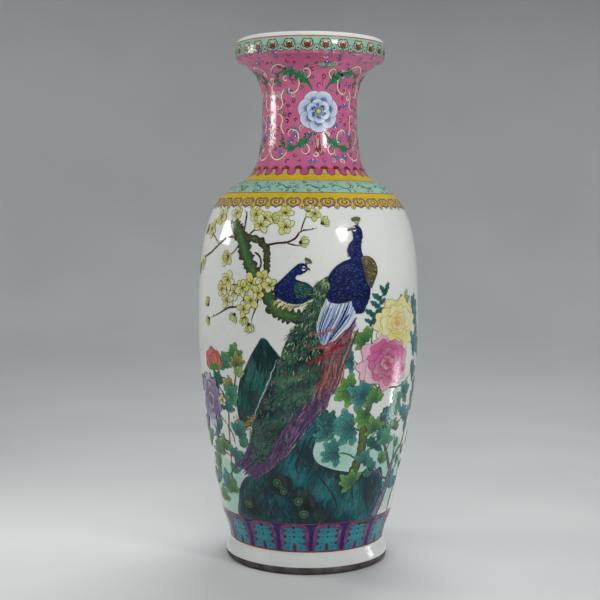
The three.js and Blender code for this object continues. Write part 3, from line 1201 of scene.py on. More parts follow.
def peony(spot, size, seed, rings, paint, slot, line_colour, base):
    """A full peony: rings of waved petals, the outer ones first. Each ring has its count, where its petals
    start, their length and width as parts of the size, and the colours at their base and edge."""
    draw = random.Random(seed)
    pile = Pile(base)
    for ring, (count, start, reach, width, inner, edge) in enumerate(rings):
        for k in range(count):
            turn = 360 * (k + 0.5 * (ring % 2)) / count + draw.uniform(-14, 14)
            petal = spot.inner(turn=turn).inner(0, start * size)
            length, across = reach * size * draw.uniform(0.82, 1.12), width * size * draw.uniform(0.85, 1.15)
            outline = petal(petal_shape(length, across, draw.choice((4, 5, 6)), 0.1, draw.uniform(0, 6), 21))
            lift = pile.up()
            pale = mix(edge, WHITE, draw.uniform(0.0, 0.55))
            tone = fade(petal, inner, pale, length * draw.uniform(0.8, 1.2))
            paint.patch(slot, outline, tone, lift, 2.6, 0.5, line_colour)
            for j in (-2, -1, 0, 1, 2):
                ray = petal.inner(turn=j * 13)
                path = ray([(0, length * 0.15), (j * 0.2, length * (0.8 - 0.08 * abs(j)))])
                paint(slot).stroke(path, 0.6, (inner, mix(inner, edge, 0.6)), lift + LINE_GAP)


PINK_RINGS = (
    (8, 0.16, 0.84, 0.72, rgb(200, 44, 112), rgb(236, 170, 200)),
    (7, 0.12, 0.62, 0.60, rgb(170, 22, 96), rgb(218, 92, 160)),
    (6, 0.06, 0.44, 0.46, rgb(162, 20, 84), rgb(210, 80, 150)),
    (5, 0.00, 0.28, 0.30, rgb(190, 26, 60), rgb(220, 96, 140)),
)
YELLOW_RINGS = (
    (7, 0.14, 0.86, 0.74, rgb(226, 214, 96), rgb(238, 234, 170)),
    (6, 0.10, 0.60, 0.58, rgb(222, 206, 84), rgb(236, 232, 158)),
    (5, 0.04, 0.40, 0.42, rgb(224, 196, 96), rgb(238, 230, 150)),
    (4, 0.00, 0.24, 0.28, rgb(226, 170, 110), rgb(238, 220, 140)),
)
LILAC_RINGS = (
    (8, 0.14, 0.86, 0.66, rgb(92, 68, 134), rgb(158, 138, 190)),
    (7, 0.10, 0.60, 0.50, rgb(80, 50, 120), rgb(140, 112, 172)),
    (5, 0.00, 0.36, 0.36, rgb(76, 38, 100), rgb(160, 128, 176)),
)


# Each petal of a peony bud: which way it points, its width and its length.
BUD_PETALS = (
    (-38, 0.5, 0.62), (38, 0.5, 0.62), (-20, 0.5, 0.86), (20, 0.5, 0.86), (0, 0.5, 1.0), (-9, 0.34, 0.74),
    (11, 0.3, 0.62),
)


def peony_bud(spot, size, paint, base):
    """An opening coral bud: pointed overlapping petals on a green calyx."""
    pile = Pile(base)
    for turn, width, reach in BUD_PETALS:
        petal = spot.inner(turn=turn)
        length = size * reach
        outline = petal(pointed_petal(length, size * width, 17, 0.4, 0.5))
        lift, tone = pile.up(), fade(petal, rgb(234, 150, 130), CORAL, length)
        paint.patch("red", outline, tone, lift, 2.6, 0.6, rgb(130, 20, 44))
        for j in (-8, 0, 8):
            vein = petal.inner(turn=j)([(0, length * 0.25), (0, length * 0.85)])
            paint("red").stroke(vein, 0.6, rgb(170, 36, 50), lift + LINE_GAP)
    for turn in (-66, 66, -26, 26):
        sepal = spot.inner(0, -0.6, turn)(pointed_petal(size * 0.34, size * 0.2, 15, 0.25, 0.6))
        paint("green").fill(sepal, LEAF, pile.up(), 2.5)


def branch(path, widths, tones, paint, seed, lift, rough=0.5):
    """A branch with an uneven edge and bark strokes, along (azimuth, height) points with widths."""
    draw = np.random.default_rng(seed)
    line = chart(path, 2.2)
    scale = np.array([mean_radius(line), 1])
    flat = line * scale
    along = np.gradient(flat, axis=0)
    along /= np.linalg.norm(along, axis=1)[:, None]
    side = np.column_stack([-along[:, 1], along[:, 0]])
    half = np.interp(np.linspace(0, 1, len(flat)), np.linspace(0, 1, len(widths)), widths)[:, None] / 2
    left = flat + side * half * (1 + draw.uniform(-rough, rough, half.shape) * 0.4)
    right = flat - side * half * (1 + draw.uniform(-rough, rough, half.shape) * 0.4)

    def shade(theta, s):
        gaps = np.linalg.norm(np.column_stack([theta, s])[:, None] * scale - flat[None], axis=2)
        near = gaps.argmin(axis=1)
        return mix(tones[0], tones[1], gaps.min(axis=1) / half[near, 0])

    paint("green").fill(np.vstack([left, right[::-1]]) / scale, shade, lift, 2.2)
    for edge in (left, right):
        paint("brown").stroke(edge / scale, 0.9, DARK_BROWN, lift + LINE_GAP, 0.03, (0.05, 0.2))
    for k in range(1, len(flat) - 2):
        for _ in range(2):
            start = flat[k] + side[k] * half[k] * draw.uniform(-0.85, 0.85)
            end = start + along[k] * draw.uniform(1.5, 4.0) + side[k] * draw.uniform(-0.6, 0.6)
            tone = (DARK_BROWN, BROWN, MOSS, tones[1])[draw.integers(4)]
            path = np.array([start, (start + end) / 2 + side[k] * 0.2, end]) / scale
            paint("brown").stroke(path, 0.6, tone, lift + LINE_GAP, 0.04)


def twig(path, width, paint, seed, tones=(DARK_BROWN, BROWN), lift=0.1):
    """A thin twig with small knots."""
    line = chart(path, 1.8)
    paint("brown").stroke(line, width, tones, lift, 0.08, (0.02, 0.4))
    draw = random.Random(seed)
    for theta, s in line[3:-2:5]:
        knot = spot_at(theta, s, draw.uniform(-60, 60))
        spur = knot([(0, 0), (0.3, draw.uniform(1.4, 2.6))])
        paint("brown").stroke(spur, width * 0.6, tones[0], lift, 0.05)


# ---------------------------------------------------------------- rocks


def rock(outline, tones, paint, seed, lift, lean, folds, spacing=4.6):
    """A rock: uneven washes of dark, middle and light tones, long wet brush strokes that lean the way the
    rock does, a dark edge, and darker folds. lean gives the slope of the strokes for an azimuth."""
    dark, middle, light = tones
    path = chart(outline, 2.2, closed=True)
    field = mottle(seed, 26)

    def shade(theta, s):
        level = field(theta, s)
        return mix(mix(middle, dark, -level * 1.3), light, level * 0.9)

    paint("green").fill(path, shade, lift, 3.0)
    draw = np.random.default_rng(seed)
    scale = np.array([mean_radius(path), 1])
    for place in scatter(path, spacing, seed, 1.5):
        slope = lean(math.degrees(place[0])) + draw.uniform(-0.16, 0.16)
        ends = np.array([(-slope * 0.5, -0.5), (draw.uniform(-0.06, 0.06), 0), (slope * 0.5, 0.5)])
        run = place * scale + ends * draw.uniform(9, 26)
        if not inside(run, path * scale).all():
            continue
        tone = shade(*place) * draw.choice([0.78, 0.9, 1.08, 1.2, 1.3])
        width = draw.uniform(1.2, 4.2)
        run, dome = curve(run, 2.5) / scale, 0.02 + 0.012 * width
        paint("green").stroke(run, width, tone, lift + LINE_GAP, dome, (0.35, 0.45), 3)
    for fold in folds:
        paint("green").stroke(chart(fold), 2.6, (rgb(8, 34, 44), dark), lift + 0.03, 0.06, (0.3, 0.5), 3)
    paint("outline").outline(path, 0.9, rgb(8, 30, 44), lift + 0.03)


def hollow(outline, paint, lift):
    """A dark hollow in a rock."""
    path = chart(outline, closed=True)
    middle = path.mean(axis=0)

    def shade(theta, s):
        away = np.hypot((theta - middle[0]) * HOLLOW_RADIUS, s - middle[1])
        return mix(rgb(12, 22, 24), rgb(16, 60, 58), away / 18)

    paint.patch("green", path, shade, lift, 3.0, 0.9, INK)


def moss_ring(azimuth, height, size, paint, lift):
    """A pale ring of moss with a dark heart."""
    spot = Spot(azimuth, height)
    ring = petal_shape(size * 2, size * 1.8, 7, 0.08) - (0, size)
    paint.patch("green", spot(ring), rgb(86, 140, 108), lift, 2.5, 0.6, INK)
    paint("green").fill(spot(ring * 0.74), rgb(12, 62, 56), lift + LAYER, 2.5)
    paint("green").fill(spot(ring * 0.42), rgb(84, 134, 84), lift + 2 * LAYER, 2.0)


def grass(azimuth, height, paint, seed):
    """A tuft of short grass blades."""
    draw = random.Random(seed)
    for _ in range(7):
        blade = Spot(azimuth + draw.uniform(-2.5, 2.5), height, turn=draw.uniform(-46, 46))
        reach = 9 * draw.uniform(0.6, 1.1)
        path = [(0, 0), (draw.uniform(-0.5, 0.5), reach * 0.6), (draw.uniform(-1.4, 1.4), reach)]
        tone = draw.choice((TEAL_DARK, rgb(40, 120, 110), LEAF_DARK))
        paint("green").stroke(blade(curve(path, 1.5)), 1.0, tone, 0.24, 0.05)


def wash(outline, paint):
    """A thin flat mint tint on the porcelain."""
    path = chart(outline, 4.0, closed=True)
    middle = path.mean(axis=0)
    reach = np.hypot((path[:, 0] - middle[0]) * TONE_RADIUS, path[:, 1] - middle[1]).max()

    def shade(theta, s):
        away = np.hypot((theta - middle[0]) * TONE_RADIUS, s - middle[1])
        return mix(MINT, rgb(206, 232, 222), away / reach)

    paint("turquoise").fill(path, shade, GROUND, 4.5)


# ---------------------------------------------------------------- peacocks


def plumage(outline, spacing, tones, enamel, seed, lift, size=1.6, swing=50):
    """Small curved feather strokes inside an outline."""
    draw = random.Random(seed)
    for theta, s in scatter(outline, spacing, seed, 0.8):
        spot = spot_at(theta, s, draw.uniform(-swing, swing))
        reach = size * draw.uniform(0.7, 1.3)
        path = spot(arc(0, 0, reach, 205, 335, 6))
        enamel.stroke(path, 0.8, draw.choice(tones), lift, 0.05, (0.3, 0.3), 1.0)


def bird_head(azimuth, height, side, paint, lift, size):
    """The eye with its white patches, and a hooked bill. side is 1 for a bill to the right."""
    spot = Spot(azimuth, height, scale=size).inner(mirror=(side, 1))
    bill = curve([(4.2, 1.9), (7.6, 1.2), (10.2, -1.0), (9.8, -2.4), (7.2, -0.9), (4.4, -1.5)], 1.0, True)
    tone = fade(spot, rgb(120, 120, 116), rgb(60, 60, 60), 10)
    paint.patch("brown", spot(bill[::side]), tone, lift, 2.0, 0.45, INK)
    paint("white").stroke(spot(arc(1.6, 0.3, 2.5, 30, 150, 6)), 1.1, WHITE, lift, 0.05)
    paint("white").stroke(spot(arc(1.4, 0.5, 2.7, 205, 335, 6)), 1.3, WHITE, lift, 0.05)
    paint("yellow").dot(spot, 1.5, 0.3, 1.2, GOLD, lift, 8)
    paint("outline").dot(spot, 1.6, 0.3, 0.7, INK, lift + LAYER, 7)


def crest(azimuth, height, turns, reach, paint, lift):
    """A fan of fine plumes with an olive tip on each."""
    for turn in turns:
        plume = Spot(azimuth, height, turn=turn)
        shaft = plume([(0, 0), (0.2, reach * 0.5), (0, reach)])
        paint("outline").stroke(shaft, 0.5, DARK_BROWN, lift, 0.03, (0.1, 0.1))
        tip = plume.inner(0, reach * 0.62)
        outline, tone = tip(petal_shape(reach * 0.46, 2.6)), fade(tip, rgb(130, 150, 80), rgb(90, 120, 50), 4)
        paint.patch("green", outline, tone, lift + LAYER, 2.2, 0.35, DARK_BROWN)


EYE_BARBS = tints((14, 48, 46), (34, 84, 72), (58, 110, 72), (16, 78, 68), (62, 88, 56), (16, 88, 86))
EYE_HEARTS = tints((150, 30, 50), (104, 26, 70), (80, 34, 90), (70, 40, 96))
DARK_BARBS = tints((6, 30, 38), (76, 132, 96), (14, 84, 74), (18, 78, 84), (44, 124, 114), (60, 44, 60))
PALE_BARBS = tints((164, 186, 132), (104, 150, 84), (30, 60, 36), (26, 96, 72), (196, 204, 156))
WARM_PLUMES = tints((150, 84, 74), (120, 70, 70), (176, 110, 90), (190, 150, 130), (150, 50, 60))
PURPLE_PLUMES = tints(
    (96, 60, 120), (120, 76, 134), (146, 112, 156), (60, 40, 84), (130, 56, 90), (30, 80, 92),
)
TIP_PLUMES = (PURPLE, rgb(104, 60, 112), rgb(76, 56, 100), rgb(50, 84, 84))


def eye_feather(spot, size, draw, paint, lift):
    """One tail feather's end: a fan of barbs, and an eye of pale green, violet and dark red."""
    for k in range(11):
        ray = spot.inner(turn=-150 + 30 * k)
        reach = size * draw.uniform(0.9, 1.4)
        path = ray([(0, 0.4), (0.5, reach * 0.6), (0.2, reach)])
        paint("green").stroke(path, 1.0, draw.choice(EYE_BARBS), lift, 0.05, (0.05, 0.6), 1.8)
    oval = petal_shape(size * 0.84, size * 0.66) - (0, size * 0.36)
    green, purple = tints((92, 138, 106), (40, 34, 72))
    rings = (1.0, "green", green), (0.76, "purple", purple), (0.5, "red", draw.choice(EYE_HEARTS))
    for k, (part, slot, tone) in enumerate(rings):
        paint(slot).fill(spot(oval * part), tone, lift + (k + 1) * LAYER, 2.4)


def ruled(left, right):
    """A patch between two (azimuth, height) edges, as a function that gives the (theta, s) points at u, down
    the edges, and v, across from the left edge to the right one."""
    count = 60
    a, b = resample(chart(left), count), resample(chart(right), count)

    def place(u, v):
        at = np.clip(np.asarray(u, float), 0, 1) * (count - 1)
        near = np.floor(at).astype(int).clip(0, count - 2)
        part = (at - near)[..., None]
        x, y = a[near] * (1 - part) + a[near + 1] * part, b[near] * (1 - part) + b[near + 1] * part
        across = np.asarray(v, float)[..., None]
        return x * (1 - across) + y * across

    return place


class Train:
    """The long tail. Places on it are u, from its root down to its tip, and v, from left to right."""

    def __init__(self, left, right, paint, seed):
        self.place, self.paint = ruled(left, right), paint
        self.ragged, self.field, self.draw = mottle(seed, 9), mottle(seed, 30), random.Random(seed)
        self.low, self.high = 0.0, 0.0

    def flow(self, u, v):
        """The point at u and v, and the direction in which the feathers fall there."""
        here, ahead = self.place(u, v), self.place(u + 0.03, v)
        across = (ahead[0] - here[0]) * float(skin.radius(here[1]))
        return here, math.degrees(math.atan2(across, here[1] - ahead[1]))

    def shade(self, theta, s):
        """Blue-green at the tip and olive at the root, in uneven clouds."""
        level, top = self.field(theta, s), np.clip((np.asarray(s) - self.low) / (self.high - self.low), 0, 1)
        middle = mix(rgb(12, 56, 66), rgb(64, 108, 76), top)
        light = mix(rgb(36, 98, 100), rgb(132, 162, 110), top)
        return mix(mix(middle, rgb(6, 34, 44), -level * 1.2), light, level * 0.9)

    def ground(self):
        """The tail's own shape with ragged edges, and pale lines beside it."""
        down, ragged = np.linspace(0, 1, 70), self.ragged
        left_edge = self.place(down, 0.02 * ragged(down * 3, down * 300))
        right_edge = self.place(down, 1 + 0.03 * ragged(down * 3, down * 260))
        self.low, self.high = right_edge[-1, 1], left_edge[0, 1]
        self.paint("green").fill(np.vstack([left_edge, right_edge[::-1]]), self.shade, 0.2, 3.0)
        part = down[:30]
        for first, last, v in ((0.42, 0.86, -0.035), (0.62, 0.96, 1.035)):
            ragged_edge = np.full(30, v) + 0.012 * ragged(part * 5, part * 500)
            path = self.place(np.linspace(first, last, 30), ragged_edge)
            tones = tints((196, 206, 198), (160, 176, 186))
            self.paint("white").stroke(path, 1.5, tones, 0.18, 0.02, (0.3, 0.5))

    def barbs(self, count):
        """Fine strokes that fall with the tail, paler near its root."""
        draw = self.draw
        for _ in range(count):
            u, v = draw.uniform(0.0, 0.97), draw.uniform(-0.01, 1.0)
            here, heading = self.flow(u, v)
            barb = spot_at(*here, heading + 180 + draw.choice((-1, 1)) * draw.uniform(6, 34))
            width, reach = draw.uniform(0.7, 1.4), draw.uniform(4, 8)
            tone = draw.choice(PALE_BARBS if draw.random() > u * 1.7 else DARK_BARBS)
            path = barb([(0, 0), (0.3, reach / 2), (0, reach)])
            self.paint("green").stroke(path, width, tone, 0.2 + LINE_GAP, 0.05)

    def eyes(self, rows):
        """Rows of eyed feathers from the tip up, each over the one below it."""
        draw = self.draw
        for row in range(rows, 0, -1):
            u = row / (rows + 1)
            across = 3 if row < 3 else 4
            for k in range(across):
                v = (k + 0.5 + 0.25 * (1 if row % 2 else -1)) / (across + 0.6)
                if v > 0.6 and u > 0.45:
                    continue
                u_here, v_here = u + draw.uniform(-0.02, 0.02), v + draw.uniform(-0.03, 0.03)
                here, heading = self.flow(u_here, min(0.95, max(0.05, v_here)))
                size = 6.0 * draw.uniform(0.8, 1.1) * (0.8 if row < 4 else 1)
                spot = spot_at(*here, heading + 180)
                eye_feather(spot, size, draw, self.paint, 0.26 + LAYER * (rows - row) * 0.8)

    def lining(self, count):
        """Plain feathers down the right side: warm red above and purple below."""
        draw, turned, part = self.draw, np.linspace(1, 0, 40), np.linspace(0, 1, 70)[:40]
        edge = 0.62 + 0.3 * turned**3 + 0.03 * self.ragged(part * 3, part * 300)
        inner = self.place(np.linspace(0.42, 1, 40), edge)
        outer = self.place(np.linspace(1, 0.42, 40), np.full(40, 1.02))
        tone = rise(self.low, self.high, rgb(76, 52, 96), rgb(70, 50, 80), 6, 0.6)
        self.paint("purple").fill(np.vstack([inner, outer]), tone, 0.70, 3.0)
        for _ in range(count):
            v, u = draw.uniform(0.58, 1.03), draw.uniform(0.1, 0.95)
            if v < 0.62 + 0.5 * max(0, 0.62 - u):
                continue
            reach = draw.uniform(0.02, 0.06) if u > 0.5 else draw.uniform(0.06, 0.14)
            path = self.place(np.linspace(u, min(1, u + reach), 5), np.full(5, v) + np.linspace(0, 0.03, 5))
            warm, cool = ("red", WARM_PLUMES, 0.9, 1.7), ("purple", PURPLE_PLUMES, 0.8, 1.8)
            slot, tones, narrow, wide = warm if u < 0.5 else cool
            tone = draw.choice(tones)
            self.paint(slot).stroke(path, draw.uniform(narrow, wide), tone, 0.76, 0.06)

    def tip(self, count):
        """Loose purple strokes past the end of the tail."""
        draw = self.draw
        for _ in range(count):
            v, u = draw.uniform(0.0, 1.0), draw.uniform(0.82, 0.97)
            if u < 0.82 + 0.12 * math.sin(math.pi * v):
                continue
            path = self.place(np.linspace(u, u + 0.05, 4), np.full(4, v))
            heading = self.flow(min(u + 0.05, 0.97), v)[1]
            end = spot_at(*path[-1], heading + 180)([(0, draw.uniform(3, 10))])
            tone = draw.choice(TIP_PLUMES)
            self.paint("purple").stroke(np.vstack([path, end]), draw.uniform(1.0, 1.9), tone, 0.77, 0.06)


def plumes(paths, enamel, tones, width, lift):
    """Single long feathers along (azimuth, height) paths, each with short barbs."""
    draw = random.Random(len(paths))
    for path in paths:
        line = chart(path)
        enamel.stroke(line, width, draw.choice(tones), lift, 0.07, (0.1, 0.4))
        for theta, s in line[1:-1]:
            barb = spot_at(theta, s, draw.choice((-1, 1)) * draw.uniform(110, 160))
            enamel.stroke(barb([(0, 0), (0, draw.uniform(1.5, 3.5))]), 0.6, draw.choice(tones), lift, 0.04)


def streamers(left, right, count, tones, enamel, seed, lift, reach=(0.5, 1.0), width=(0.7, 1.3)):
    """Long feather strokes that run down a patch between two edges."""
    place = ruled(left, right)
    draw = random.Random(seed)
    for _ in range(count):
        v, start = draw.uniform(0.02, 0.98), draw.uniform(0.0, 0.4)
        end = min(1.0, start + draw.uniform(*reach))
        path = place(np.linspace(start, end, 9), np.full(9, v))
        enamel.stroke(path, draw.uniform(*width), draw.choice(tones), lift, 0.05, (0.1, 0.5))


def shaded_bird(outline, dark, light, paint, lift):
    """The body of a bird: a blue patch that lightens towards its upper edge."""
    path = chart(outline, 1.8, closed=True)
    heights = [h for _, h in outline]
    paint.patch("blue", path, rise(min(heights), max(heights), dark, light, 4, 0.3), lift, 2.4, 0.7, NAVY)
    return path


# ---------------------------------------------------------------- the painting on the front


def washes(paint):
    """Thin mint tints behind the lower leaves."""
    wash([(-80, 64), (-78, 108), (-68, 128), (-54, 128), (-42, 114), (-36, 96), (-40, 66)], paint)
    wash([(28, 160), (41, 165), (57, 156), (69, 144), (72, 103), (62, 66), (44, 66), (28, 106)], paint)
    wash([(2, 150), (8, 166), (16, 167), (28, 158), (32, 118), (20, 112), (8, 118), (1, 134)], paint)


SLAB = (
    (-22.6, 272), (-25, 265), (-28, 255), (-32, 239), (-36, 223), (-38, 206), (-39, 190), (-38, 178),
    (-35, 172),
    (-29, 172), (-20, 180), (-14, 200), (-12, 222), (-12, 239), (-14, 252), (-18, 263), (-21.2, 271),
)
SLAB_FOLDS = (
    [(-23, 266), (-26, 240), (-30, 215), (-34, 190)], [(-20, 256), (-20, 236), (-24, 212)],
    [(-31, 238), (-35, 214), (-36, 192)],
)
BROAD_ROCK = (
    (-50, 64), (-47, 80), (-45, 92), (-41, 104), (-37, 111), (-33, 114), (-30, 122), (-24, 130), (-17, 137),
    (-11, 150), (-4, 167), (3, 184), (8, 194), (10, 193), (9, 180), (6, 168), (4, 156), (3, 143), (5, 134),
    (11, 127), (22, 121), (33, 118), (38, 124), (43, 118), (47, 121), (50, 110), (52, 92), (51, 71), (50, 61),
    (24, 61), (-4, 61), (-28, 61),
)
BROAD_ROCK_FOLDS = (
    [(8, 190), (5, 172), (0, 152), (-1, 138), (4, 126)], [(2, 178), (-6, 156), (-14, 138)],
    [(-2, 150), (-6, 130), (-4, 112)], [(4, 122), (12, 104), (18, 84), (20, 66)],
    [(24, 118), (27, 100), (30, 78)], [(36, 114), (37, 96), (40, 74)], [(-34, 110), (-28, 98), (-26, 82)],
    [(-26, 124), (-25, 112), (-24, 104)], [(12, 122), (20, 112), (30, 108)],
    [(-20, 92), (-18, 80), (-12, 66)],
    [(44, 110), (46, 92), (45, 72)],
)
HOLLOWS = (
    [(-23, 108), (-20, 115), (-15, 117), (-10, 115), (-8, 107), (-10, 97), (-14, 92), (-19, 96), (-22, 101)],
    [(-9, 98), (-5, 104), (0, 102), (4, 92), (8, 82), (13, 72), (12, 66), (-3, 65), (-8, 75), (-10, 88)],
    [(-46, 73), (-42, 84), (-37, 90), (-32, 86), (-28, 76), (-29, 68), (-40, 66), (-46, 67)],
)
MOSS_RINGS = (
    (-17.3, 108, 4.8), (-13.6, 98.4, 4.2), (-38.4, 78, 4.6), (-5, 87, 4.8), (-1.6, 72, 5), (-15, 103.4, 2.6),
)
GRASS = ((-26, 66), (-22, 82), (20, 66), (28, 84), (38, 70), (16, 92), (46, 90), (-34, 98), (34, 66))
SLAB_TONES = tints((2, 52, 52), (6, 72, 68), (26, 102, 92))
ROCK_TONES = tints((0, 48, 60), (0, 76, 86), (10, 112, 118))
DRY_MOSS = (rgb(166, 142, 60), rgb(110, 120, 50), BROWN, rgb(70, 90, 40), rgb(190, 170, 80))


def slab_foot(paint):
    """Dry yellow moss along the foot of the tall rock."""
    draw = random.Random(8)
    for _ in range(150):
        part = draw.random()
        azimuth, height = mix((-40.5, 178), (-28, 184), part) - (0, 10 * math.sin(part * math.pi))
        spot = Spot(azimuth + draw.gauss(0, 0.8), height + draw.gauss(0, 2.6), turn=draw.uniform(0, 360))
        tone = draw.choice(DRY_MOSS)
        paint("brown").stroke(spot(curl(1.5, draw)), 1.3, tone, 0.16, 0.05)


def broad_lean(azimuth):
    """The slope of the broad rock's strokes, which turn over to the right."""
    return 0.5 - 0.022 * max(azimuth - 2, 0)


def front_rocks(paint):
    """A tall pointed rock behind the tail, and the broad dark rock that the birds stand over."""
    rock(SLAB, SLAB_TONES, paint, 21, 0.08, lambda azimuth: 0.28, SLAB_FOLDS, 4.0)
    slab_foot(paint)
    rock(BROAD_ROCK, ROCK_TONES, paint, 22, 0.12, broad_lean, BROAD_ROCK_FOLDS)
    for outline in HOLLOWS:
        hollow(outline, paint, 0.2)
    for azimuth, height, size in MOSS_RINGS:
        moss_ring(azimuth, height, size, paint, 0.23)
    for azimuth, height in GRASS:
        grass(azimuth, height, paint, azimuth + height)


TRUNK = (
    (-46, 402), (-41, 391), (-37, 379), (-34, 366), (-31, 354), (-27, 341), (-22, 332), (-20, 320),
    (-17, 307), (-11, 298), (-7, 296), (-3, 298),
)
HOOKED_BRANCH = (
    (-34, 380), (-30, 381), (-26, 379), (-23, 373), (-21, 365), (-21, 356), (-21, 345), (-23, 337),
)

# The paths and widths of the flowering tree's twigs.
TREE_TWIGS = (
    ([(-36, 387), (-36, 398), (-37, 409), (-39, 412)], 2.6),
    ([(-32, 385), (-30, 389), (-27, 393), (-24, 398), (-20, 401)], 2.2),
    ([(-22, 373), (-16, 376), (-11, 377), (-7, 381), (-4, 389), (1, 391), (5, 393)], 2.4),
    ([(-4, 390), (-3, 397), (-2, 403), (0, 409)], 1.6),
    ([(-11, 376), (-7, 374), (-3, 373)], 1.6),
    ([(-48, 381), (-54, 373), (-60, 365), (-71, 356), (-77, 347)], 2.6),
    ([(-38, 378), (-43, 382), (-48, 381)], 2.7),
    ([(-54, 374), (-61, 383), (-72, 388)], 1.9),
    ([(-38, 374), (-41, 366), (-45, 360)], 2.2),
    ([(-30, 339), (-32, 330), (-33, 317), (-34, 308), (-43, 303), (-50, 296), (-59, 289)], 2.3),
    ([(-24, 327), (-25, 315), (-26, 306), (-28, 295), (-29, 286)], 2.0),
    ([(-35, 331), (-38, 329), (-42, 331)], 1.6),
    ([(-28, 366), (-25, 361), (-24, 354), (-25, 346), (-26, 339)], 2.2),
)

# Azimuth and height of each blossom; of each bud, with which way it points.
BLOSSOMS = (
    (-30, 407), (-24, 403), (-26, 396), (-13, 409), (-12, 394), (3, 408), (-46, 358), (-44, 334), (-48, 323),
    (-39, 321), (-44, 311), (-34, 326), (-29, 332), (-25, 321), (-29, 313), (-23, 337), (-19, 330),
    (-65, 390),
    (-44, 408), (-57, 404), (-33, 303), (-72, 352),
)
BLOSSOM_BUDS = (
    (7, 398, -60), (-61, 304, 40), (-39, 296, 150), (-33, 294, 190), (-30, 286, 200), (-4, 377, -80),
    (-20, 401, -60), (0, 410, -10), (-77, 346, 110), (-60, 288, 130), (-72, 389, 80), (-45, 360, 100),
)


def flowering_tree(paint):
    """An old mossy trunk with bare twigs and pale yellow blossoms."""
    for k, (path, width) in enumerate(TREE_TWIGS):
        twig(path, width, paint, k)
    mossy, dark = tints((70, 126, 66), (62, 56, 32)), tints((80, 96, 50), (48, 40, 26))
    branch(TRUNK, (12, 15, 16, 14, 12, 14, 15, 12), mossy, paint, 4, 0.14, 1.1)
    branch(HOOKED_BRANCH, (9, 8, 7, 7, 6, 4), dark, paint, 5, 0.2, 1.1)
    for k, (azimuth, height) in enumerate(BLOSSOMS):
        spot, size, lift = Spot(azimuth, height, turn=37 * k), 8.6 + (k * 7 % 5) * 0.4, 0.24 + 0.15 * (k % 3)
        blossom(spot, size, 40 + k, paint, lift)
    for k, (azimuth, height, turn) in enumerate(BLOSSOM_BUDS):
        blossom_bud(Spot(azimuth, height, turn=turn), 8.0, 80 + k, paint, 0.24 + 0.15 * (k % 3))


TRAIN_LEFT = (
    (9, 341), (5, 335), (1, 326), (1, 316), (-2, 304), (-5, 293), (-9, 276), (-12, 262), (-14, 249),
    (-16, 236),
    (-20, 217), (-25, 195), (-30, 171), (-33, 150), (-38, 135), (-45, 124),
)
TRAIN_RIGHT = (
    (12, 333), (9, 318), (7, 307), (7, 293), (8, 278), (10, 268), (12, 260), (16, 250), (16, 230), (11, 210),
    (9, 197), (2, 182), (-7, 155), (-16, 133), (-24, 120), (-30, 112),
)


HEN_BODY = (
    (-16.7, 327.4), (-13.3, 335.9), (-10.3, 342.6), (-6.6, 350.4), (-4.6, 353.8), (-2.2, 354), (-0.6, 350.9),
    (-0.7, 346.8), (-3.2, 343), (-5.8, 341.2), (-6.5, 337.7), (-4.2, 335.2), (-0.5, 332.7), (2, 327.7),
    (1.6, 320), (-1.2, 312.5), (-5.6, 310.4), (-11.6, 313), (-15.9, 319.1),
)
HEN_WING = ((-5.7, 333.6), (-2, 333), (1.4, 327.7), (0.8, 321.1), (-2.7, 317.4), (-5.7, 320.6), (-6.6, 327.7))
HEN_BLUES = (rgb(20, 46, 124), rgb(28, 62, 140), rgb(48, 88, 150), NAVY)
HEN_GREENS = (rgb(70, 140, 90), DEEP_GREEN, rgb(130, 150, 70), TEAL)
HEN_FRINGE = (LEMON, PALE_YELLOW, rgb(110, 140, 80), CREAM, rgb(150, 140, 80), rgb(120, 90, 60))


def hen(paint):
    """The smaller bird, perched on the trunk behind the tail."""
    path = shaded_bird(HEN_BODY, NAVY, rgb(14, 34, 100), paint, 0.62)
    plumage(path, 2.4, HEN_BLUES, paint("blue"), 6, 0.62 + LINE_GAP)
    wing = chart(HEN_WING, closed=True)
    paint("green").fill(wing, rise(316, 334, rgb(12, 50, 66), rgb(24, 96, 78), 7), 0.66, 2.4)
    paint("outline").outline(wing, 0.6, DEEP_GREEN, 0.67)
    plumage(wing, 2.5, HEN_GREENS, paint("green"), 7, 0.67, 1.8)
    draw = random.Random(9)
    for part in np.arange(54) / 53:
        turn = 150 - 40 * part + draw.uniform(-14, 14)
        spot = Spot(-17 + 19 * part, 315 - 6.0 * math.sin(part * math.pi) - 1, turn=turn)
        tone = draw.choice(HEN_FRINGE)
        paint("yellow").stroke(spot([(0, -1), (0.3, 2), (0, draw.uniform(3, 7.5))]), 1.2, tone, 0.7, 0.05)
    bird_head(-2.9, 348.6, 1, paint, 0.7, 0.8)
    crest(-1.6, 352.6, (-62, -44, -26, -8), 7.5, paint, 0.64)


COVERTS_LEFT = ((10, 322), (7, 308), (5, 296), (4, 284), (6, 268))
COVERTS_RIGHT = ((25, 314), (23, 300), (20, 288), (15, 276), (9, 262))
PALE_PLUMES = (
    [(20, 300), (15, 284), (9, 268)], [(24, 296), (19, 280), (12, 262)], [(12, 296), (8, 280), (6, 270)],
)
RED_PLUMES = (
    ([(18, 266), (12, 261.5), (7.9, 254.1), (4.2, 249.2), (-1.8, 245.8)], 4.2, rgb(150, 24, 44)),
    ([(14, 284), (9.6, 280.9), (5.5, 278.5), (0.4, 276.9)], 2.0, rgb(176, 84, 84)),
    ([(14, 270), (8.5, 264.2), (4.1, 262.6), (0.4, 259.3)], 2.6, rgb(170, 76, 84)),
    ([(24, 288), (19, 277), (11, 268), (4, 263)], 1.6, rgb(164, 50, 60)),
)
BROWN_LEFT = ((16.9, 280), (9.3, 259), (5.7, 244), (4.1, 220))
BROWN_RIGHT = ((24, 292), (21, 274), (17.4, 257), (17.2, 224))
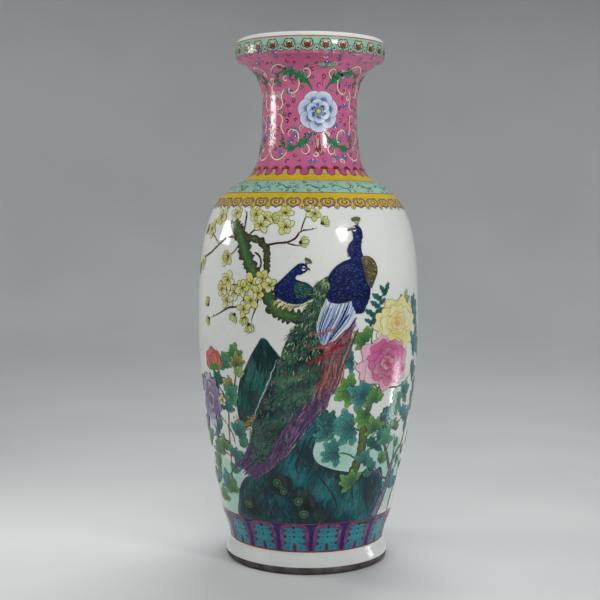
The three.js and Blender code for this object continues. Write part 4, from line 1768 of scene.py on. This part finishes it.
BROWN_STREAMERS = tints((110, 60, 66), (140, 90, 84), (84, 50, 84), (176, 130, 116), (70, 44, 60))
BROWN_PLUMES = (
    [(22, 276), (20, 262), (17, 246), (15, 230)], [(25, 284), (22, 268), (19, 250), (16, 236)],
    [(14, 258), (12, 244), (12, 230), (10, 214)], [(17, 254), (15, 238), (13, 222), (9, 206)],
    [(9, 252), (7, 238), (6, 222), (3, 206)], [(12, 240), (8, 220), (2, 200), (-5, 182)],
    [(15, 232), (11, 212), (5, 194), (-2, 176)],
)


def coverts(paint):
    """The pale blue and white feathers under the large bird, red plumes, and brown ones down the tail."""
    left, right = COVERTS_LEFT, COVERTS_RIGHT
    place = ruled(left, right)
    edge = np.vstack([place(np.linspace(0, 1, 24), np.zeros(24)), place(np.linspace(1, 0, 24), np.ones(24))])
    paint("white").fill(edge, rise(262, 320, rgb(206, 216, 224), BLUE_WHITE, 3), 0.86, 3.0)
    blues = (COBALT, SOFT_BLUE, NAVY, rgb(70, 110, 190), rgb(90, 96, 120))
    streamers(left, right, 60, (WHITE, BLUE_WHITE, rgb(222, 230, 236)), paint("white"), 5, 0.868)
    streamers(left, right, 56, blues, paint("blue"), 6, 0.874)
    plumes(PALE_PLUMES, paint("blue"), (COBALT, rgb(60, 90, 170)), 1.8, 0.9)
    for path, width, tone in RED_PLUMES:
        plumes([path], paint("red"), (tone, tone), width, 0.92)
    streamers(BROWN_LEFT, BROWN_RIGHT, 130, BROWN_STREAMERS, paint("red"), 12, 0.83, (0.3, 0.6), (0.9, 1.7))
    browns = tints((140, 90, 80), (110, 66, 66), (176, 130, 110), (90, 60, 90))
    plumes(BROWN_PLUMES, paint("red"), browns, 1.6, 0.86)


COCK_BODY = (
    (23, 386), (23, 381), (20.6, 375), (19.6, 366), (21.4, 360), (18, 357), (14, 352), (11, 345), (9.4, 338),
    (10.6, 329), (8.6, 320), (9.6, 314), (14, 311), (18, 312), (22, 314), (24, 311), (27, 305), (29, 308),
    (31, 318), (31.4, 330), (30, 343), (29, 352), (28, 361), (27, 370), (27.6, 379), (28.4, 387), (27.6, 393),
    (25, 395.6), (23, 393),
)
COCK_THIGH = ((21, 318), (27, 315), (29, 307), (27, 300), (24, 300), (22, 307))
COCK_WING = (
    (27, 361), (32, 361), (35, 355), (36, 346), (34, 335), (32, 328), (30, 332), (28.6, 341), (27.6, 352),
)
COCK_BLUES = (rgb(20, 46, 126), rgb(12, 34, 108), rgb(28, 64, 148), NAVY, NAVY, rgb(50, 92, 150))
COCK_SCALES = (DARK_BROWN, rgb(20, 70, 70), rgb(180, 160, 70), rgb(40, 50, 100))


def cock(paint):
    """The large bird in front: blue neck, scaled golden wing, and pale coverts over the tail."""
    coverts(paint)
    thigh = chart(COCK_THIGH, 1.8, True)
    paint("blue").fill(thigh, rise(300, 318, NAVY, rgb(24, 40, 104), 5), 0.93, 2.6)
    plumage(thigh, 2.6, (rgb(40, 64, 150), COBALT), paint("blue"), 8, 0.94)
    path = shaded_bird(COCK_BODY, rgb(6, 10, 50), rgb(14, 34, 104), paint, 0.95)
    plumage(path, 2.2, COCK_BLUES, paint("blue"), 10, 0.956)
    wing = chart(COCK_WING, closed=True)
    paint("brown").fill(wing, rise(328, 362, rgb(84, 76, 34), rgb(120, 104, 44), 9), 0.985, 2.6)
    paint("outline").outline(wing, 0.7, DARK_BROWN, 0.995)
    plumage(wing, 2.3, COCK_SCALES, paint("outline"), 11, 0.992, 1.8, 20)
    bird_head(24.6, 391.4, -1, paint, 0.985, 0.9)
    crest(26.2, 394.5, (30, 12, -4, -20), 10.5, paint, 0.975)


GREEN_LEAF = (LEAF_DARK, LEAF_PALE)
TEAL_LEAF = (TEAL_DARK, TEAL_PALE)
BLUE_LEAF = (rgb(8, 104, 128), rgb(64, 176, 200))
JADE_LEAF = (rgb(20, 120, 90), rgb(96, 186, 140))
PALE_LEAF = (LEAF_PALE, rgb(206, 222, 150))
DARK_LEAF = (TEAL_DARK, TEAL)
AUTUMN_LEAF = (LEAF_DARK, rgb(214, 200, 90))
DRY_LEAF = tints((110, 110, 40), (218, 206, 110))

# The narrow leaflets of the upright sprig on the right: azimuth, height, which way they point, and length.
NARROW_LEAVES = (
    (32.4, 289, 66, 10), (32.6, 288, -60, 10), (34.2, 297, 70, 14), (35.4, 299, -58, 12), (36.8, 306, 62, 13),
    (37.8, 309, -50, 10), (38.2, 314, 56, 14), (39.8, 318, -40, 9), (40.6, 321, 40, 11), (41.0, 321, -22, 13),
)

# Each leaf fan: azimuth, height, which way it points, size, tones, and number of leaflets.
RIGHT_LEAVES = (
    (57, 307, -10, 18, PALE_LEAF, 3), (68, 300, -14, 20, TEAL_LEAF, 3), (11, 168, 50, 22, TEAL_LEAF, 5),
    (60, 94, -20, 20, BLUE_LEAF, 5), (69, 286, -24, 21, TEAL_LEAF, 5), (12, 178, 70, 20, DARK_LEAF, 5),
    (67, 172, -40, 22, TEAL_LEAF, 5), (48, 150, 10, 18, JADE_LEAF, 5), (82, 200, -30, 22, TEAL_LEAF, 5),
    (40, 146, -20, 18, DARK_LEAF, 5), (78, 250, -20, 20, BLUE_LEAF, 5), (38, 168, 20, 18, GREEN_LEAF, 5),
    (29, 268, 40, 20, GREEN_LEAF, 5), (20, 262, 70, 17, TEAL_LEAF, 5), (68, 258, -60, 21, BLUE_LEAF, 5),
    (22, 248, 95, 17, TEAL_LEAF, 5), (70, 225, -70, 20, TEAL_LEAF, 5), (30, 207, 62, 24, TEAL_LEAF, 5),
    (22, 214, 80, 24, GREEN_LEAF, 5), (36, 200, 10, 21, GREEN_LEAF, 5), (32, 186, 150, 21, GREEN_LEAF, 5),
    (42, 178, -130, 21, DARK_LEAF, 5), (24, 172, 100, 28, TEAL_LEAF, 5), (16, 144, 90, 21, TEAL_LEAF, 5),
    (33, 130, -30, 18, TEAL_LEAF, 5), (27, 108, 50, 18, GREEN_LEAF, 5), (54, 164, -20, 15, GREEN_LEAF, 3),
    (62, 178, -40, 18, BLUE_LEAF, 5), (45, 128, -50, 15, GREEN_LEAF, 3), (52, 196, -80, 20, JADE_LEAF, 5),
    (60, 204, -60, 18, TEAL_LEAF, 5), (14, 164, 60, 15, JADE_LEAF, 3), (48, 190, -150, 17, TEAL_LEAF, 5),
    (72, 270, -90, 17, GREEN_LEAF, 5), (75, 190, -60, 17, JADE_LEAF, 5),
)
RIGHT_STEMS = (
    [(34, 200), (38, 214), (43, 226)], [(33, 195), (27, 205), (22, 216)], [(43, 226), (47, 252), (50, 275)],
    [(31, 165), (24, 172), (17, 174)], [(31, 150), (38, 162), (43, 176)], [(30, 132), (22, 142), (14, 144)],
    [(40, 215), (56, 214), (70, 228)], [(50, 275), (60, 288), (70, 298)],
    [(41, 240), (33, 262), (35, 290), (41, 305)], [(38, 214), (28, 236), (20, 255)],
    [(31, 155), (44, 160), (54, 166)], [(54, 166), (60, 172), (64, 182)],
)


def leaves(places, paint, seed):
    """Leaf fans at a list of places."""
    for k, (azimuth, height, turn, size, tones, count) in enumerate(places):
        pile = Pile(0.2 + 0.13 * (k % 3))
        leaf_fan(Spot(azimuth, height, turn=turn), size, tones, paint, pile, seed + k, count)


def right_flowers(paint):
    """A pink and a yellow peony among leaves on a thick stem."""
    stem = [(34, 200), (32, 186), (31, 171), (31, 152), (30, 137), (27, 120), (25, 104)]
    branch(stem, (6, 8, 10, 10, 11, 10), tints((84, 130, 60), (84, 70, 44)), paint, 31, 0.16)
    for k, path in enumerate(RIGHT_STEMS):
        twig(path, 1.9, paint, 50 + k, (LEAF_DARK, MOSS), 0.12)
    leaves(RIGHT_LEAVES, paint, 300)
    twig([(31.5, 284), (34, 296), (37, 306), (38.4, 316), (41, 323)], 3.6, paint, 62, DARK_LEAF, 0.3)
    pile, tones = Pile(0.3), (TEAL_DARK, rgb(30, 140, 116))
    for k, (azimuth, height, turn, length) in enumerate(NARROW_LEAVES):
        leaf(Spot(azimuth, height, turn=turn), length, length * 0.42, tones, paint, pile, 320 + k)
    yellow, pink = Spot(49.6, 286, turn=20, stretch=(1.34, 1.06)), Spot(43, 243, turn=6, stretch=(1.22, 1))
    peony(yellow, 30, 7, YELLOW_RINGS, paint, "yellow", rgb(190, 140, 50), 0.62)
    peony(pink, 34, 11, PINK_RINGS, paint, "rose", rgb(150, 34, 90), 0.72)


PURPLE_BRANCHES = (
    ([(48, 62), (53, 80), (56.5, 96), (57.5, 112), (59, 126)], (13, 11.5, 9, 6.5, 4)),
    ([(57, 116), (52, 132), (47.5, 148), (45, 157)], (4.4, 3.2, 2.2)),
    ([(58.6, 124), (63, 136), (69, 144), (70, 158)], (4.2, 3.2, 2.2)),
)
PURPLE_TWIGS = (
    ([(57, 106), (64, 116), (70, 124)], 2.4), ([(56, 104), (49.4, 109), (45.8, 115.6), (35.7, 118.5)], 2.4),
    ([(59, 126), (58, 144), (55.8, 158)], 2.4), ([(50, 140), (52, 150), (51, 160)], 1.8),
    ([(46, 115), (42, 122), (38, 125)], 1.8), ([(66, 62), (67, 80), (72, 100), (71, 116)], 3.0),
)
SMALL_LEAVES = (
    (68, 158), (43, 157), (70, 130), (37, 112), (66, 94), (60, 142), (64, 121), (40, 121), (72, 112),
    (50, 160), (56, 162),
)


def purple_tree(paint):
    """A thin bare tree in lilac-brown, with small leaves."""
    for k, (path, widths) in enumerate(PURPLE_BRANCHES):
        branch(path, widths, tints((150, 138, 164), (96, 70, 104)), paint, 44 + k, 0.3)
    for k, (path, width) in enumerate(PURPLE_TWIGS):
        twig(path, width, paint, 70 + k, tints((84, 50, 84), (130, 90, 130)), 0.3)
    for k, (azimuth, height) in enumerate(SMALL_LEAVES):
        tones = (JADE_LEAF, TEAL_LEAF, GREEN_LEAF)[k % 3]
        leaf_fan(Spot(azimuth, height, turn=(k * 47) % 90 - 45), 11, tones, paint, Pile(0.34), 500 + k, 3)


LEFT_LEAVES = (
    (-40, 246, -20, 18, GREEN_LEAF, 5), (-38, 228, -30, 14, PALE_LEAF, 3), (-44, 204, -50, 18, JADE_LEAF, 5),
    (-52, 216, 30, 18, (LEAF_DARK, JADE), 5), (-48, 188, -10, 21, TEAL_LEAF, 5),
    (-56, 162, 40, 18, TEAL_LEAF, 5),
    (-40, 158, -40, 17, GREEN_LEAF, 5), (-70, 146, 50, 18, JADE_LEAF, 5), (-53, 140, 10, 17, GREEN_LEAF, 5),
    (-45, 132, -60, 18, TEAL_LEAF, 5), (-38, 146, -30, 14, JADE_LEAF, 3), (-54, 96, 20, 20, TEAL_LEAF, 5),
    (-62, 118, 60, 20, GREEN_LEAF, 5), (-46, 236, 20, 17, JADE_LEAF, 5), (-68, 178, 70, 18, TEAL_LEAF, 5),
    (-72, 210, 60, 17, GREEN_LEAF, 5), (-60, 134, 0, 17, JADE_LEAF, 5), (-70, 96, 30, 20, TEAL_LEAF, 5),
    (-64, 76, 10, 18, GREEN_LEAF, 5), (-48, 114, -40, 15, JADE_LEAF, 3), (-37.5, 240, 10, 17, AUTUMN_LEAF, 5),
    (-42, 214, 60, 16, DRY_LEAF, 3), (-40, 162, -30, 17, TEAL_LEAF, 5), (-51.5, 90, 0, 17, GREEN_LEAF, 5),
    (-72, 160, 60, 20, TEAL_LEAF, 5),
)
LEFT_STEMS = (
    [
        (-57, 229), (-56, 219), (-51, 209), (-47, 198), (-46, 185), (-47, 165), (-48, 140), (-50, 110),
        (-52, 80),
    ],
    [(-48, 169), (-44, 157), (-43, 147)], [(-70, 136), (-55, 136), (-46, 130)],
    [(-62, 190), (-54, 178), (-47, 168)],
    [(-46, 185), (-42, 205), (-39, 226), (-40, 246)], [(-50, 150), (-60, 152), (-70, 150)],
    [(-52, 90), (-62, 104), (-64, 120)], [(-51, 110), (-46, 122), (-44, 134)],
)


def left_flowers(paint):
    """A coral bud and a lilac peony with leaves, left of the pointed rock."""
    for k, path in enumerate(LEFT_STEMS):
        twig(path, 2.0, paint, 90 + k, (rgb(110, 70, 70), BROWN), 0.12)
    leaves(LEFT_LEAVES, paint, 400)
    lilac = Spot(-62, 194, turn=14, stretch=(0.84, 1.06))
    peony(lilac, 29, 17, LILAC_RINGS, paint, "purple", rgb(70, 30, 90), 0.6)
    peony_bud(Spot(-55.4, 232, turn=10, stretch=(1.55, 1)), 25, paint, 0.5)
    blossom(Spot(-50, 197), 7, 33, paint, 0.8)


# ---------------------------------------------------------------- the painting on the back and sides


def butterfly(spot, tones, paint):
    """A butterfly with four spotted wings."""
    for side in (1, -1):
        for turn, length, width, lift in ((52, 15, 11, 0.12), (112, 11, 9, 0.15)):
            wing = spot.inner(turn=side * turn)
            outline = wing(petal_shape(length, width, 4, 0.08, side))
            paint.patch("red", outline, fade(wing, *tones, length), lift, 2.6, 0.6, INK)
            paint("blue").dot(wing, 0, length * 0.66, 1.7, COBALT, lift + LAYER, 8)
            for j in (-18, 0, 18):
                vein = wing.inner(turn=j)([(0, 1), (0, length * 0.5)])
                paint("outline").stroke(vein, 0.45, INK, lift + LINE_GAP)
        feeler = curve([(0, 4), (side * 1.5, 8), (side * 4.5, 11)], 1.2)
        paint("outline").stroke(spot(feeler), 0.5, INK, 0.12, 0.04)
    paint("brown").fill(spot(petal_shape(12, 2.6) - (0, 6.5)), DARK_BROWN, 0.2, 2.2)


SIDE_STEMS = (
    [(-8, 150), (-20, 168), (-28, 186)], [(2, 178), (16, 190), (24, 206)], [(-10, 132), (6, 138), (18, 136)],
    [(6, 204), (-4, 224), (-8, 246)], [(-26, 96), (-34, 118), (-32, 138)],
)
SIDE_LEAVES = (
    (-28, 184, 40), (-20, 166, 80), (24, 204, -50), (15, 188, -100), (18, 136, -70), (-8, 244, 20),
    (-14, 140, 70), (6, 138, -140), (-32, 136, 20), (12, 222, -30), (-4, 166, 120), (-18, 206, 60),
    (30, 100, -20), (-24, 114, 40),
)


def side_painting(paint, middle, seed):
    """Rocks, a spray of leaves on a stem and a twig of blossoms, about an azimuth away from the front."""
    def at(path):
        return [(middle + azimuth, height) for azimuth, height in path]

    wash(at([(-44, 64), (-36, 96), (-18, 116), (6, 108), (30, 118), (42, 92), (42, 64)]), paint)
    left = [(-38, 62), (-36, 84), (-30, 102), (-22, 112), (-16, 128), (-9, 122), (-6, 104), (2, 92), (6, 62)]
    folds = [at([(-18, 122), (-20, 100), (-24, 74)])]
    rock(at(left), ROCK_TONES, paint, seed, 0.12, lambda azimuth: 0.2, folds)
    right = [(12, 62), (14, 78), (20, 88), (27, 98), (34, 86), (40, 62)]
    rock(at(right), ROCK_TONES, paint, seed + 1, 0.12, lambda azimuth: 0.1, [at([(26, 94), (24, 76)])])
    moss_ring(middle - 26, 92, 4, paint, 0.2)
    moss_ring(middle - 20, 78, 3.4, paint, 0.2)
    bark = tints((96, 130, 60), (84, 64, 34))
    branch(at([(-12, 118), (-8, 150), (2, 178), (6, 204)]), (6, 5, 4, 3), bark, paint, seed, 0.16)
    for k, path in enumerate(SIDE_STEMS):
        twig(at(path), 1.9, paint, seed + k, (LEAF_DARK, MOSS), 0.12)
    tones = (GREEN_LEAF, TEAL_LEAF, JADE_LEAF, BLUE_LEAF)
    places = []
    for k, (azimuth, height, turn) in enumerate(SIDE_LEAVES):
        places.append((middle + azimuth, height, turn, 14 + k % 3 * 2, tones[k % 4], 3))
    leaves(places, paint, seed)
    twig(at([(30, 372), (18, 362), (6, 350), (-6, 346), (-18, 334)]), 2.4, paint, seed, (DARK_BROWN, BROWN))
    twig(at([(6, 350), (2, 336), (4, 322)]), 1.6, paint, seed + 1)
    twig(at([(18, 362), (14, 374), (6, 384)]), 1.6, paint, seed + 2)
    for k, (azimuth, height) in enumerate(((20, 366), (8, 386), (-6, 350), (-18, 330), (4, 320), (10, 344))):
        blossom(Spot(middle + azimuth, height, turn=31 * k), 8.2, seed + k, paint, 0.2 + 0.15 * (k % 3))
    for k, (azimuth, height, turn) in enumerate(((-24, 338, 90), (0, 334, 160), (30, 378, -40))):
        blossom_bud(Spot(middle + azimuth, height, turn=turn), 8, seed + k, paint, 0.24)


def back_painting(paint):
    """The scene carried round the back: two flower sprays on rocks, with butterflies between them."""
    side_painting(paint, 122, 600)
    peony(Spot(128, 226, turn=10), 28, 21, PINK_RINGS, paint, "rose", rgb(140, 24, 76), 0.72)
    peony(Spot(112, 256, turn=50), 19, 22, YELLOW_RINGS, paint, "yellow", rgb(176, 116, 40), 0.6)
    side_painting(paint, 212, 700)
    peony(Spot(216, 228, turn=30), 27, 23, LILAC_RINGS, paint, "purple", rgb(70, 30, 90), 0.72)
    peony_bud(Spot(236, 208, turn=-24), 24, paint, 0.6)
    butterfly(Spot(166, 300, turn=-30), (rgb(226, 170, 70), CORAL), paint)
    butterfly(Spot(148, 258, turn=35), (PALE_YELLOW, rgb(206, 120, 60)), paint)
    butterfly(Spot(246, 292, turn=10), (rgb(226, 150, 80), RED), paint)


def decorate():
    """All the enamels: borders, neck, front and back."""
    borders, neck, front, back = Paints("border"), Paints("neck"), Paints("front"), Paints("back")
    band("neck_ground", "enamel_rose", NECK_FOOT, COLLAR_EDGE + 1.0, ROSE, 0.06)
    for border in (collar_border, neck_foot_border, shoulder_border, foot_border):
        border(borders)
    neck_scroll(neck)
    neck_curls(neck)
    for part in (washes, front_rocks, flowering_tree, left_flowers, right_flowers, purple_tree, hen, cock):
        part(front)
    train = Train(TRAIN_LEFT, TRAIN_RIGHT, front, 3)
    train.ground()
    train.barbs(1400)
    train.eyes(18)
    train.lining(420)
    train.tip(120)
    back_painting(back)
    for paint in (borders, neck, front, back):
        paint.finish()


def main():
    dress_cad_nodes()
    foot_ring()
    glaze_coat()
    base_glaze()
    decorate()


# ---------------------------------------------------------------- studio


FLOOR_SIDES = 96


def stage_and_camera():
    """A plain pale floor and backdrop in one sweep, and the photograph's camera."""
    floor = bpy.data.meshes.new("studio_sweep")
    profile = curve([(0.001, 0), (1.6, 0), (2.1, 0.1), (2.45, 0.45), (2.6, 1.1), (2.64, 3.6)], 0.06)
    n, turns = len(profile), np.linspace(0, 2 * math.pi, FLOOR_SIDES, endpoint=False)
    points = [(r * math.sin(a), -r * math.cos(a), z) for a in turns for r, z in profile]
    faces = []
    for i in range(FLOOR_SIDES):
        here, after = i * n, (i + 1) % FLOOR_SIDES * n
        faces += [(here + k, after + k, after + k + 1, here + k + 1) for k in range(n - 1)]
    floor.from_pydata(points, [], faces)
    floor.shade_smooth()
    material, tree, shader = nodes_of("studio_paper", 0.7)
    tone = ramp(tree, noise(tree, 3, 2), rgb(226, 228, 229), rgb(232, 234, 234))
    tree.links.new(tone, shader.inputs["Base Color"])
    floor.materials.append(material)
    sweep = bpy.data.objects.new("studio_sweep", floor)
    bpy.context.scene.collection.objects.link(sweep)

    camera = bpy.data.cameras.new("camera")
    camera.lens, camera.sensor_width = 71.3, 36.0
    view = bpy.data.objects.new("camera", camera)
    view.location = (0, -1.416, 0.406)
    view.rotation_mode = "XYZ"
    view.rotation_euler = (math.radians(90 - 4.06), math.radians(-0.41), math.radians(0.43))
    bpy.context.scene.collection.objects.link(view)
    bpy.context.scene.camera = view


def area_light(name, azimuth, elevation, distance, target, size, energy, colour=(1, 1, 1), shape="RECTANGLE"):
    """A soft light in a direction seen from the vase, which looks at the vase's axis at a height."""
    light = bpy.data.lights.new(name, "AREA")
    light.shape = shape
    light.size, light.size_y = size
    light.energy = energy
    light.color = colour
    a, e = math.radians(azimuth), math.radians(elevation)
    way = Vector((math.sin(a) * math.cos(e), -math.cos(a) * math.cos(e), math.sin(e)))
    lamp = bpy.data.objects.new(name, light)
    lamp.location = Vector((0, 0, target)) + way * distance
    lamp.rotation_mode = "QUATERNION"
    lamp.rotation_quaternion = way.to_track_quat("Z", "Y")
    lamp.visible_camera = False
    bpy.context.scene.collection.objects.link(lamp)
    return lamp


def keep_off(lamp, thing):
    """Stops a lamp from lighting one thing."""
    group = bpy.data.collections.new(lamp.name + "_leaves_out")
    group.objects.link(thing)
    group.collection_objects[0].light_linking.link_state = "EXCLUDE"
    lamp.light_linking.receiver_collection = group


def lights():
    """The highlights of the photograph, and soft light that leaves no highlight of its own."""
    area_light("key_round", 35.5, 21.4, 0.9, 0.39, (0.165, 0.165), 2.0, (1, 0.99, 0.97), "DISK")
    area_light("left_window", -97, 12, 0.82, 0.42, (0.24, 0.18), 1.9, (1, 0.97, 0.92))
    low = area_light("right_low", 96, 0, 0.54, 0.085, (0.10, 0.15), 0.34, (0.95, 0.98, 1))
    keep_off(low, bpy.data.objects["studio_sweep"])
    for fill in (
        area_light("overhead", 165, 64, 1.8, 0.4, (1.0, 1.0), 19),
        area_light("front_fill", -4, 36, 1.05, 0.54, (0.7, 0.5), 3.6, (1, 1, 0.98)),
    ):
        fill.visible_glossy = False
    world = bpy.data.worlds.new("studio")
    world.use_nodes = True
    world.node_tree.nodes["Background"].inputs["Color"].default_value = (0.80, 0.84, 0.88, 1)
    world.node_tree.nodes["Background"].inputs["Strength"].default_value = 0.12
    bpy.context.scene.world = world


main()
stage_and_camera()
lights()
bpy.context.scene.view_settings.view_transform = "Standard"
